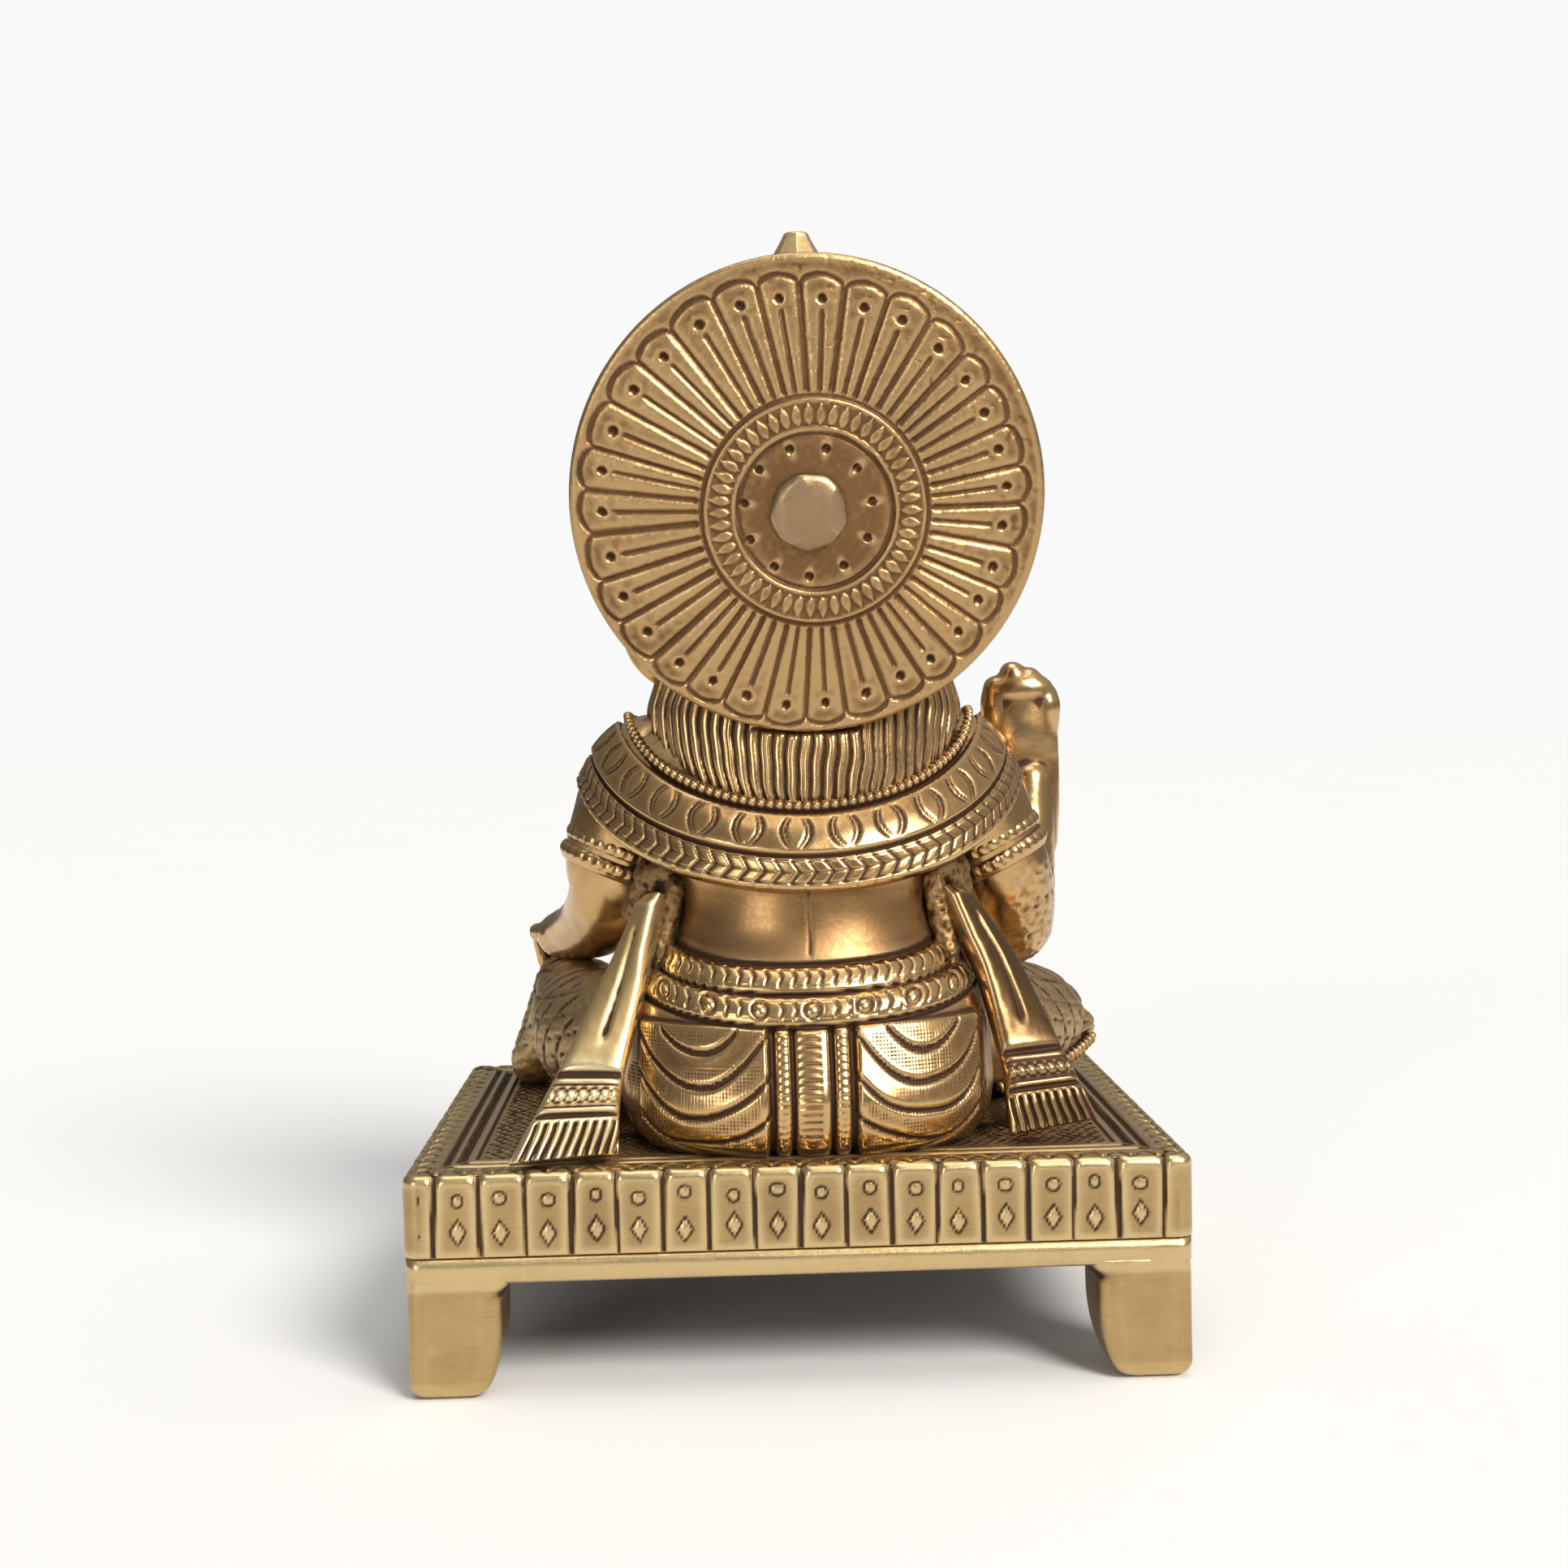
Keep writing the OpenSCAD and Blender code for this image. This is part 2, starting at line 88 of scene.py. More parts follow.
def spline(knots, count):
    # smooth curve through the knots: on each span the cubic of its four neighbours (Catmull-Rom)
    k = np.asarray(knots, float)
    k = np.vstack([2 * k[0] - k[1], k, 2 * k[-1] - k[-2]])
    t = np.linspace(0, len(knots) - 1, count)
    i = np.minimum(t.astype(int), len(knots) - 2)
    u = (t - i)[:, None]
    a, b, c, d = k[i], k[i + 1], k[i + 2], k[i + 3]
    return 0.5 * (2 * b + (c - a) * u + (2 * a - 5 * b + 4 * c - d) * u ** 2 + (3 * b - a - 3 * c + d) * u ** 3)


def fullTurn(count):
    # even angles over one turn, as a row
    return np.linspace(0, 2 * pi, count, endpoint=False)[None, :]


def tube(knots, count, around, squash=1.0, side=(0, 0, 1), ripple=None):
    # a round limb: circles of radius r about a smooth path through [x, y, z, r], flattened by
    # squash along one axis, with a half ball at each end; ripple(share of length, angle) adds to the radius
    ends = 6
    path = spline(knots, count)
    centre, radius = path[:, :3], np.maximum(path[:, 3], 0.05)
    ahead = np.gradient(centre, axis=0)
    ahead /= np.linalg.norm(ahead, axis=1)[:, None]
    f = np.linspace(0, pi / 2, ends + 1)[:-1]
    head = centre[0] - ahead[0] * radius[0] * np.cos(f)[:, None]
    tail = centre[-1] + ahead[-1] * radius[-1] * np.sin(f[1:])[:, None]
    centre = np.vstack([head, centre, tail])
    ahead = np.vstack([np.tile(ahead[0], (ends, 1)), ahead, np.tile(ahead[-1], (ends - 1, 1))])
    radius = np.concatenate([radius[0] * np.maximum(np.sin(f), 0.03), radius, radius[-1] * np.cos(f[1:])])
    u = np.cross(np.asarray(side, float), ahead)
    u /= np.linalg.norm(u, axis=1)[:, None]
    v = np.cross(ahead, u)
    a = fullTurn(around)
    r = radius[:, None] * np.ones(around)
    if ripple is not None:
        r = r + ripple(np.linspace(0, 1, len(radius))[:, None], a)
    sideways, upward = (r * np.cos(a))[..., None] * u[:, None], (r * np.sin(a) * squash)[..., None] * v[:, None]
    return loft(centre[:, None] + sideways + upward)


def ovalGrid(centre, size, rows, cols):
    # an ellipsoid: half sizes times the unit sphere's (cos e cos a, cos e sin a, sin e)
    e = np.linspace(-pi / 2, pi / 2, rows + 2)[1:-1, None]
    a = fullTurn(cols)
    unit = np.stack([np.cos(e) * np.cos(a), np.cos(e) * np.sin(a), np.sin(e) + 0 * a], -1)
    return np.asarray(centre, float) + unit * np.asarray(size, float)


def ball(centre, size):
    # the same as a closed shell
    return loft(ovalGrid(centre, size, 24, 36))


def turned(profile, cols, count, ripple=None):
    # a lathe shape: the profile [radius, height] is followed at even steps of its length and swung
    # round the upright axis; ripple(angle, height) is added to the radius
    p = np.asarray(profile, float)
    length = np.concatenate([[0], np.cumsum(np.hypot(*np.diff(p, axis=0).T))])
    s = np.linspace(0, length[-1], count)
    radius, height = np.interp(s, length, p[:, 0]), np.interp(s, length, p[:, 1])
    a = fullTurn(cols)
    r = radius[:, None] * np.ones(cols)
    if ripple is not None:
        r = np.maximum(r + ripple(a, height[:, None]), 0.01)
    return loft(np.stack([r * np.cos(a), r * np.sin(a), height[:, None] + 0 * a], -1))


def normalsOf(points):
    # outward normal of a grid of rings: the cross product of its steps along a row and up a column
    n = np.cross(np.roll(points, -1, 1) - np.roll(points, 1, 1), np.gradient(points, axis=0))
    return n / np.maximum(np.linalg.norm(n, axis=-1, keepdims=True), 1e-9)


def cut(distance, width):
    # a rounded groove: 1 on its centre line, falling off as a bell of that width
    return np.exp(-(distance / (0.5 * width)) ** 2)


def ramp(low, high, x):
    # 0 below low, 1 above high, smooth between
    t = np.clip((x - low) / (high - low), 0, 1)
    return t * t * (3 - 2 * t)


def dome(x):
    # a half circle's height: root of 1 - x squared, 0 outside -1 to 1
    return np.sqrt(np.clip(1 - x ** 2, 0, 1))


def offWhole(x):
    # how far x is from the nearest whole number, -0.5 to 0.5
    return x - np.round(x)


def saw(x):
    # the same without its sign, 0 to 0.5
    return np.abs(offWhole(x))


lattice = rng.random((32, 32, 32))


def grain(p, size):
    # value noise, -1 to 1: random numbers on a lattice of that size, blended smoothly between corners
    q = p / size
    i = np.floor(q).astype(int)
    f = q - i
    f = f * f * (3 - 2 * f)
    total = 0
    for corner in np.ndindex(2, 2, 2):
        share = [f[..., k] if up else 1 - f[..., k] for k, up in enumerate(corner)]
        near = (i + corner) % len(lattice)
        total = total + share[0] * share[1] * share[2] * lattice[near[..., 0], near[..., 1], near[..., 2]]
    return total * 2 - 1


def meshFrom(shell, name):
    # a shell in mm as a smooth-shaded mesh in metres
    mesh = bpy.data.meshes.new(name)
    points, quads, tris = shell["points"], shell["quads"], shell["tris"]
    corners = np.concatenate([quads.ravel(), tris.ravel()])
    sizes = np.concatenate([np.full(len(quads), 4), np.full(len(tris), 3)])
    mesh.vertices.add(len(points))
    mesh.vertices.foreach_set("co", (points * mm).astype(np.float32).ravel())
    mesh.loops.add(len(corners))
    mesh.loops.foreach_set("vertex_index", corners.astype(np.int32))
    mesh.polygons.add(len(sizes))
    mesh.polygons.foreach_set("loop_start", (np.cumsum(sizes) - sizes).astype(np.int32))
    mesh.update(calc_edges=True)
    mesh.validate()
    mesh.shade_smooth()
    return mesh


def readFrom(items, key, wide=1, kind=np.float32):
    # one value of every vertex, face or corner, as an array with that many columns
    values = np.zeros(len(items) * wide, kind)
    items.foreach_get(key, values)
    return values.reshape(-1, wide) if wide > 1 else values


def pointsOf(mesh):
    return readFrom(mesh.vertices, "co", 3).astype(float) / mm


def normalsAt(mesh):
    return readFrom(mesh.vertex_normals, "vector", 3).astype(float)


def cast(shells, voxel, rounds, name):
    # runs the shells together as poured metal does: a voxel remesh of their union, then smoothing
    source = bpy.data.objects.new(name + "Cast", meshFrom(joined(shells), name + "Cast"))
    bpy.context.scene.collection.objects.link(source)
    remesh = source.modifiers.new("remesh", "REMESH")
    remesh.mode, remesh.voxel_size, remesh.use_smooth_shade = "VOXEL", voxel * mm, True
    smooth = source.modifiers.new("smooth", "SMOOTH")
    smooth.factor, smooth.iterations = 0.5, rounds
    bpy.context.view_layer.update()
    mesh = bpy.data.meshes.new_from_object(source.evaluated_get(bpy.context.evaluated_depsgraph_get()))
    bpy.data.objects.remove(source)
    return mesh


def relief(mesh, depth):
    # moves each point along its normal by depth(points), in mm
    points = pointsOf(mesh)
    points += normalsAt(mesh) * depth(points)[:, None]
    mesh.vertices.foreach_set("co", (points * mm).astype(np.float32).ravel())
    mesh.update()
    return mesh


def withShells(mesh, shells):
    # the cast mesh and further closed shells as one shell
    corners = readFrom(mesh.loops, "vertex_index", 1, np.int32)
    sizes = readFrom(mesh.polygons, "loop_total", 1, np.int32)
    starts = np.cumsum(sizes) - sizes
    quads, tris = (corners[starts[sizes == n][:, None] + np.arange(n)] for n in (4, 3))
    return joined([{"points": pointsOf(mesh), "quads": quads, "tris": tris}] + shells)


pieces = []


def addPiece(name, shell, node, material):
    # the piece rides on the one body and stands for its CAD node
    mesh = meshFrom(shell, name)
    piece = bpy.data.objects.new(name, mesh)
    bpy.context.scene.collection.objects.link(piece)
    mesh.materials.append(material)
    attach(piece, "root")
    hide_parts(node)
    pieces.append(piece)
    print("made", name, "with", len(mesh.loops) - 2 * len(mesh.polygons), "triangles")


def addToFigure(name, shell, node, material):
    # figure coordinates stand on the deck, about the figure's own centre line
    addPiece(name, {**shell, "points": shell["points"] + np.array([figureX, 0, deckZ])}, node, material)


class Sock:
    # wraps a node socket, so that + - and * with it make Math nodes
    def __init__(self, shader, out):
        self.shader, self.out = shader, out

    def math(self, kind, a, b):
        return self.shader.node("ShaderNodeMath", {"operation": kind}, {0: a, 1: b})

    def __add__(self, other):
        return self.math("ADD", self, other)

    def __radd__(self, other):
        return self.math("ADD", other, self)

    def __sub__(self, other):
        return self.math("SUBTRACT", self, other)

    def __rsub__(self, other):
        return self.math("SUBTRACT", other, self)

    def __mul__(self, other):
        return self.math("MULTIPLY", self, other)

    def __rmul__(self, other):
        return self.math("MULTIPLY", other, self)

    def clamp(self, low=0.0, high=1.0):
        return self.math("MINIMUM", self.math("MAXIMUM", self, low), high)


class Shader:
    # the node tree of a material or of the world
    def __init__(self, owner):
        owner.use_nodes = True
        self.owner, self.tree = owner, owner.node_tree
        self.tree.nodes.clear()

    def node(self, kind, settings, sockets, output=0):
        # settings, with a ramp's stops among them, are set before the sockets; gives the output asked for
        made = self.tree.nodes.new(kind)
        for key, value in settings.items():
            if key == "stops":
                ramps = made.color_ramp.elements
                while len(ramps) < len(value):
                    ramps.new(0.5)
                for element, (place, colour) in zip(ramps, value):
                    element.position, element.color = place, colour
            else:
                setattr(made, key, value)
        for key, value in sockets.items():
            if isinstance(value, Sock):
                self.tree.links.new(value.out, made.inputs[key])
            else:
                made.inputs[key].default_value = value
        return Sock(self, made.outputs[output]) if len(made.outputs) else made

    def blend(self, share, a, b, kind="MIX"):
        # Mix Color: its factor is input 0, its colours are inputs 6 and 7, its colour output is 2
        settings = {"data_type": "RGBA", "blend_type": kind, "clamp_factor": True}
        return self.node("ShaderNodeMix", settings, {0: share, 6: a, 7: b}, 2)


def brass(name, look):
    # brass with brown patina in its hollows plus painted shade where other metal lies close, rubbed edges, cloudy
    # tarnish, and a fine cast or brushed grain
    s = Shader(bpy.data.materials.new(name))
    noise = lambda vector, scale, detail, rough: s.node(
        "ShaderNodeTexNoise", {}, {"Vector": vector, "Scale": scale, "Detail": detail, "Roughness": rough}, "Fac")
    place = s.node("ShaderNodeTexCoord", {}, {}, "Object")
    hollow, rubbed = (s.node("ShaderNodeAttribute", {"attribute_name": key}, {}, "Fac") for key in ("hollow", "rubbed"))
    stretched = s.node("ShaderNodeMapping", {}, {"Vector": place, "Scale": look["brush"]})
    cloud = noise(place, look["cloudScale"], 4.0, 0.6)
    speck = noise(place, look["speckScale"], 3.0, 0.7)
    lines = noise(stretched, 1.0, 3.0, 0.7)
    pits = s.node("ShaderNodeTexVoronoi", {"feature": "F1"}, {"Vector": place, "Scale": look["pitScale"]}, "Distance")
    patchy = ((cloud - 0.5) * 2.2 + 0.5).clamp()
    # dark mix: patina in the hollows, specks and tarnish, plus painted shade where other metal lies close in front of
    # the surface
    dirtAndShade = (hollow * look["patinaAndShade"] + (speck - 0.5) * look["speckle"] + (patchy - 0.55) * look["tarnish"]).clamp()
    edge = (rubbed * look["wear"]).clamp()
    metal = s.blend(patchy, look["colour"], look["cloudColour"])
    metal = s.blend((lines - 0.5).clamp() * look["brushTint"], metal, look["dirtAndShadeColour"])
    metal = s.blend(edge, metal, look["edgeColour"])
    colour = s.blend(dirtAndShade, metal, look["dirtAndShadeColour"])
    rough = look["roughness"] + dirtAndShade * 0.32 + (speck - 0.5) * 0.12 + (lines - 0.5) * look["brushRough"] - edge * 0.06
    height = speck * look["speckBump"] + lines * look["lineBump"] + (pits * 1.6).clamp() * look["pitBump"]
    normal = s.node("ShaderNodeBump", {}, {"Strength": look["bump"], "Distance": 0.0002, "Height": height})
    bsdf = s.node("ShaderNodeBsdfPrincipled", {}, {
        "Base Color": colour, "Roughness": rough.clamp(0.08, 0.9), "Metallic": 1.0 - dirtAndShade * look["dirtMatt"],
        "Normal": normal, "Specular IOR Level": 0.5})
    s.node("ShaderNodeOutputMaterial", {}, {"Surface": bsdf})
    return s.owner


plain = {"colour": (0.49, 0.285, 0.118, 1), "cloudColour": (0.37, 0.208, 0.082, 1), "dirtAndShadeColour": (0.050, 0.021, 0.008, 1),
         "edgeColour": (0.64, 0.43, 0.20, 1), "roughness": 0.26, "dirtMatt": 0.45,
         "patinaAndShade": 1.5, "speckle": 0.4, "tarnish": 0.32, "wear": 0.85, "brushTint": 0.25, "brushRough": 0.1,
         "brush": (260, 260, 260), "cloudScale": 55.0, "speckScale": 1500.0, "pitScale": 700.0,
         "speckBump": 0.25, "lineBump": 0.15, "pitBump": 0.1, "bump": 0.35}
figureBrass = brass("figureBrass", plain)
fixingBrass = brass("fixingBrass", {**plain, "roughness": 0.36})
stoolBrass = brass("stoolBrass", {
    **plain, "colour": (0.50, 0.342, 0.150, 1), "cloudColour": (0.37, 0.246, 0.106, 1), "edgeColour": (0.74, 0.56, 0.29, 1),
    "brush": (90, 90, 2600), "brushTint": 0.7, "brushRough": 0.25, "lineBump": 0.6, "roughness": 0.33, "wear": 0.7,
    "patinaAndShade": 1.3, "tarnish": 0.45})
haloBrass = brass("haloBrass", {
    **plain, "colour": (0.245, 0.128, 0.054, 1), "cloudColour": (0.19, 0.098, 0.04, 1), "edgeColour": (0.50, 0.32, 0.145, 1),
    "patinaAndShade": 0.6, "roughness": 0.39, "speckle": 0.8, "tarnish": 0.34, "speckBump": 0.7, "bump": 0.55, "wear": 1.0})
rivetBrass = brass("rivetBrass", {
    **plain, "colour": (0.37, 0.242, 0.130, 1), "cloudColour": (0.29, 0.19, 0.105, 1), "edgeColour": (0.448, 0.336, 0.208, 1),
    "roughness": 0.4, "brush": (900, 160, 160), "brushTint": 0.5, "speckBump": 0.6})
# bright polished brass; on the left sash tail its bright colour also paints the reflection that the tail shows
polishedAndSheenBrass = brass("polishedAndSheenBrass", {
    **plain, "colour": (0.72, 0.52, 0.255, 1), "cloudColour": (0.60, 0.41, 0.18, 1), "edgeColour": (0.84, 0.68, 0.38, 1),
    "roughness": 0.36, "wear": 0.9, "patinaAndShade": 1.4})
brownBrass = brass("brownBrass", {
    **plain, "colour": (0.22, 0.128, 0.056, 1), "cloudColour": (0.14, 0.078, 0.033, 1), "edgeColour": (0.46, 0.30, 0.14, 1),
    "roughness": 0.3, "patinaAndShade": 1.7, "tarnish": 0.5})
rawBrass = brass("rawBrass", {
    **plain, "colour": (0.40, 0.262, 0.128, 1), "cloudColour": (0.31, 0.20, 0.096, 1), "edgeColour": (0.56, 0.40, 0.20, 1),
    "roughness": 0.46, "speckle": 0.9, "speckScale": 1300.0, "speckBump": 0.9, "pitBump": 0.6, "bump": 0.55, "wear": 0.6})
# dark braze filler; its very dark brown also paints the shade that falls in the armpits
brazeAndShadeMetal = brass("brazeAndShadeMetal", {
    **plain, "colour": (0.125, 0.064, 0.025, 1), "cloudColour": (0.075, 0.037, 0.014, 1), "edgeColour": (0.50, 0.32, 0.14, 1),
    "roughness": 0.5, "speckle": 1.0, "speckScale": 1100.0, "speckBump": 1.0, "pitBump": 1.0, "bump": 0.9, "patinaAndShade": 1.5,
    "wear": 0.45})
carpetBrass = brass("carpetBrass", {
    **plain, "colour": (0.33, 0.21, 0.095, 1), "cloudColour": (0.20, 0.125, 0.05, 1), "roughness": 0.40, "patinaAndShade": 1.7,
    "speckle": 0.8, "tarnish": 0.5, "speckBump": 0.6, "bump": 0.5})
print("materials ready")

# the halo: a domed disc that leans back, chased with petals round a raised leaf ring
halo = {"across": 77.0, "lift": 2.0, "tilt": 10.0, "centre": (headX, 31.0, 104.0), "hub": 4.4, "cols": 20,
        "domeAt": [0, 17.7, 28.5, 38.0, 38.5], "domeHeight": [4.4, 4.4, 3.6, 2.45, 1.9],
        "petals": 31, "petalDepth": 0.55, "petalsFrom": 18.4, "dotIn": 3.7, "dotDeep": 1.15, "dotRound": 0.62,
        "ringShift": -1.1, "ringIn": 12.9, "ringOut": 17.9, "ringRise": 0.5, "leaves": 50,
        "holes": 11, "holesAt": 10.4, "holeRound": 0.62, "holeDeep": 0.9}


def atDisc(points):
    # disc coordinates (right, down, outward) to figure coordinates: turned a quarter and the tilt about X
    t = np.radians(-90 - halo["tilt"])
    x, y, z = points[..., 0], points[..., 1], points[..., 2]
    return np.stack([x, y * np.cos(t) - z * np.sin(t), y * np.sin(t) + z * np.cos(t)], -1) + np.array(halo["centre"])


def haloShell():
    # polar grid about the leaf ring: back face, rim, then the chased front, whose height is the disc's
    # dome less the grooves; each groove is a bell of the distance to its line
    n = halo["petals"]
    u = (np.arange(n * halo["cols"]) + 0.5) / halo["cols"]
    u = u - 0.45 * np.sin(4 * pi * u) / (4 * pi)          # columns crowd at each groove
    a = (u * 2 * pi / n)[None, :]
    px, rad = halo["ringShift"], halo["across"] / 2
    toward = -px * np.cos(a) - halo["lift"] * np.sin(a)   # from the ring's centre to the outline's
    reach = toward + np.sqrt(rad ** 2 - px ** 2 - halo["lift"] ** 2 + toward ** 2)
    back = np.concatenate([np.linspace(0.06, 0.97, 9), [0.99, 1.0]])[:, None]
    front = np.concatenate([[1.0, 0.995, 0.985], np.linspace(0.975, 0.33, 92), np.linspace(0.32, 0.02, 34)])[:, None]
    r = front * reach
    wob = a + 0.010 * np.sin(5 * a + 1) + 0.007 * np.sin(11 * a + 2) + 0.004 * np.sin(23 * a)
    t = offWhole(wob * n / (2 * pi))                      # across its petal, -0.5 to 0.5
    across = t * 2 * pi / n * r
    half = pi / n * r
    rim = 2.15 - 1.0 * np.sin(a) - 0.7 * np.cos(a) + 0.25 * np.sin(7 * a + 0.6) + 0.15 * np.sin(13 * a)
    tip = reach - rim
    end = tip - 2.1 * (1 - np.sqrt(1 - 0.97 * (2 * t) ** 2))
    inside = ramp(-0.1, 0.35, end - r)
    field = inside * ramp(halo["petalsFrom"], halo["petalsFrom"] + 1.0, r)
    groove = np.maximum(cut(r - end, 0.8) * 0.9, cut(half - np.abs(across), 0.95) * field)
    middle = cut(across, 0.9) * field * ramp(0.2, 1.4, tip - halo["dotIn"] - 1.0 - r)
    dot = np.hypot(across, r - (tip - halo["dotIn"]))
    swell = 0.06 * np.cos(pi * np.clip(2 * np.abs(t), 0, 1)) * field
    h = -halo["petalDepth"] * np.maximum(groove, 0.95 * middle) + swell - 0.18 * field
    h = h - halo["dotDeep"] * np.exp(-(dot / halo["dotRound"]) ** 2) + 0.10 * np.exp(-((dot - 1.05) / 0.3) ** 2)
    # the raised ring with its leaves
    lo, hi = halo["ringIn"], halo["ringOut"]
    h = h + halo["ringRise"] * ramp(lo - 0.35, lo + 0.25, r) * ramp(-hi - 0.35, -hi + 0.25, -r)
    borders = ((0.35, lo - 0.45, 0.6), (0.4, hi + 0.5, 0.7), (0.25, lo + 0.75, 0.45), (0.2, hi - 0.5, 0.4))
    for depth, line, width in borders:
        h = h - depth * cut(r - line, width)
    leaf = offWhole(a * halo["leaves"] / (2 * pi))
    v = np.clip((r - lo - 0.9) / (hi - lo - 1.5), 0, 1)
    wide = 0.46 * np.sin(pi * v ** 0.75)
    h = h + (0.34 * dome(leaf / np.maximum(wide, 0.02)) - 0.2) * (v > 0) * (v < 1)
    # punched holes in the flat middle
    x, y = px + r * np.cos(a), r * np.sin(a)
    holes = np.arctan2(y, x) * halo["holes"] / (2 * pi) + 0.25
    gap = np.hypot(offWhole(holes) * 2 * pi * halo["holesAt"] / halo["holes"], np.hypot(x, y) - halo["holesAt"])
    h = h - halo["holeDeep"] * np.exp(-(gap / halo["holeRound"]) ** 4)
    out = np.hypot(x, y + halo["lift"])
    z = np.interp(out, halo["domeAt"], halo["domeHeight"]) + h * ramp(-38.45, -37.9, -out)
    p = np.stack([x, y, z], -1)
    # cast pits, worst at one side, and a slightly uneven surface
    worn = ramp(-0.2, 0.9, -np.cos(a - 0.75)) * (r > 19)
    z = z - 0.2 * worn * np.clip(grain(p, 0.9) - 0.35, 0, 1) + 0.06 * grain(p, 3.5) + 0.035 * grain(p, 0.8)
    x2, y2 = px + back * reach * np.cos(a), back * reach * np.sin(a)
    rear = np.stack([x2, y2, np.array([0.0] * 9 + [0.05, 0.4])[:, None] + 0 * x2], -1)
    disc = loft(np.concatenate([rear, np.stack([x, y, z], -1)]))
    return {**disc, "points": atDisc(disc["points"])}


addToFigure("haloDisc", haloShell(), "halo_disc", haloBrass)

# the peened rivet: a button hammered into flats
rivet = {"across": 12.3, "tall": 2.9, "shank": 5.0, "grip": 11.9, "flats": 11}


def rivetShell():
    # a polar grid whose height is the lowest of several tilted planes, so it has flats, over an upright
    # wall and the shank behind the disc
    a = fullTurn(180)
    s = np.linspace(1, 0.01, 60)[:, None]
    top = halo["hub"] + rivet["tall"]
    r = s * rivet["across"] / 2 * (1 + 0.012 * np.sin(5 * a) + 0.012 * np.sin(9 * a + 1))
    x, y = r * np.cos(a), r * np.sin(a)
    z = top - 0.02 * (x * 0.4 + y) + 0 * x
    for k in range(rivet["flats"]):
        facing, slope = 2 * pi * k / rivet["flats"] + 0.4 * np.sin(3 * k), 0.30 + 0.16 * np.sin(2.3 * k)
        start = 3.9 + 0.8 * np.sin(1.7 * k)
        z = np.minimum(z, top - slope * (x * np.cos(facing) + y * np.sin(facing) - start) * 0.85)
    z = z - 0.5 * s ** 14 + 0.03 * grain(np.stack([x, y, z], -1), 1.1)
    low = np.stack([rivet["shank"] / 2 * np.cos(a), rivet["shank"] / 2 * np.sin(a), 0 * a - rivet["grip"]], -1)
    high = low * [1, 1, 0] + [0, 0, halo["hub"] - 0.2]
    foot, wall = (np.stack([x[:1], y[:1], 0 * x[:1] + halo["hub"] + rise], -1) for rise in (-0.15, 0.7))
    button = loft(np.concatenate([low, high, foot, wall, np.stack([x, y, z], -1)]))
    return {**button, "points": atDisc(button["points"])}


addToFigure("haloRivet", rivetShell(), "halo_rivet", rivetBrass)

# the crown: stepped tiers of beads and upright leaves, with a round boss behind that meets the disc
crown = {"at": (headX, 9.0, 93.0),
         "profile": [[0.1, 0], [19.4, 0], [19.8, 0.6], [19.8, 2.6], [18.6, 3.4], [19.6, 4.4], [19.6, 6.0],
                     [18.6, 6.8], [19.2, 12.6], [17.6, 20.5], [18.2, 21.4], [17.8, 23.0], [16.4, 23.6], [12.6, 31.2],
                     [13.2, 32.0], [12.6, 33.4], [11.4, 34.0], [7.8, 39.4], [8.2, 40.2], [7.4, 41.4], [6.4, 42.0],
                     [6.0, 43.9], [0.1, 44.0]],
         "boss": [[0.1, -12.0], [6.9, -12.0], [6.9, -1.2], [6.3, -0.6], [6.9, -0.2], [6.9, 0.0], [0.1, 0.0]],
         # bead rows: from height, to height, how many, how proud
         "beadRows": [(0.6, 2.7, 64, 0.45), (4.3, 6.1, 64, 0.45), (21.3, 23.1, 48, 0.35), (31.9, 33.5, 48, 0.35),
                      (40.1, 41.5, 48, 0.35)],
         # leaf tiers: from height, to height, how many, their shift in leaves
         "leafTiers": [(7.2, 20.0, 16, 0), (24.0, 30.8, 16, 0), (34.4, 39.0, 12, 0.5)]}


def crownRipple(a, h):
    # bead rows are |cos| bumps; each tier's leaves are pointed arches, a groove along their edge and rib
    total = 0
    for low, high, count, proud in crown["beadRows"]:
        total = total + proud * (np.abs(np.cos(count / 2 * a)) - 0.6) * ((h > low) & (h < high))
    for low, high, count, shift in crown["leafTiers"]:
        v = np.clip((h - low) / (high - low), 0, 1)
        t = offWhole(a * count / (2 * pi) + shift)
        edge = 0.47 * np.sqrt(np.clip(1 - v ** 1.6, 0, 1))
        inside = ramp(-0.03, 0.04, edge - np.abs(t))
        on = (h > low) & (h < high)
        total = total + on * (0.55 * inside - 0.35 * cut(np.abs(t) - edge + 0.07, 0.05) - 0.3 * cut(t, 0.04) * inside)
    return total


def crownShell():
    # the turned tiers, and behind them a boss turned square to the leaning disc
    body = turned(crown["profile"], 640, 132, crownRipple)
    body["points"] = body["points"] + np.array(crown["at"])
    boss = turned(crown["boss"], 72, 40)
    boss["points"] = atDisc(boss["points"])
    return joined([body, boss])


addToFigure("crownCone", crownShell(), "crown", figureBrass)

# the finial: a turned bud on a peg, with a tip filed to flats
finial = {"at": (headX, 9.0, 137.0), "flats": 8,
          "profile": [[0.1, -4.9], [1.9, -4.9], [1.9, 0.0], [4.8, 0.05], [5.9, 1.2], [5.7, 2.4], [4.4, 3.6],
                      [5.2, 5.4], [5.4, 7.4], [4.9, 10.2], [4.5, 11.8], [2.5, 15.3], [2.1, 16.2], [0.1, 16.45]]}


def finialRipple(a, h):
    # eight flats: the radius shrinks where the face is nearer the axis than its corners
    t = (a * finial["flats"] / (2 * pi)) % 1 - 0.5
    flat = np.cos(pi / finial["flats"]) / np.cos(t * 2 * pi / finial["flats"]) - 1
    return flat * np.interp(h, [3, 6, 12, 16.5], [0, 5.2, 4.4, 1.2]) * (h > 3)


bud = turned(finial["profile"], 192, 90, finialRipple)
bud["points"] = bud["points"] + np.array(finial["at"])
addToFigure("crownFinial", bud, "crown_finial", polishedAndSheenBrass)

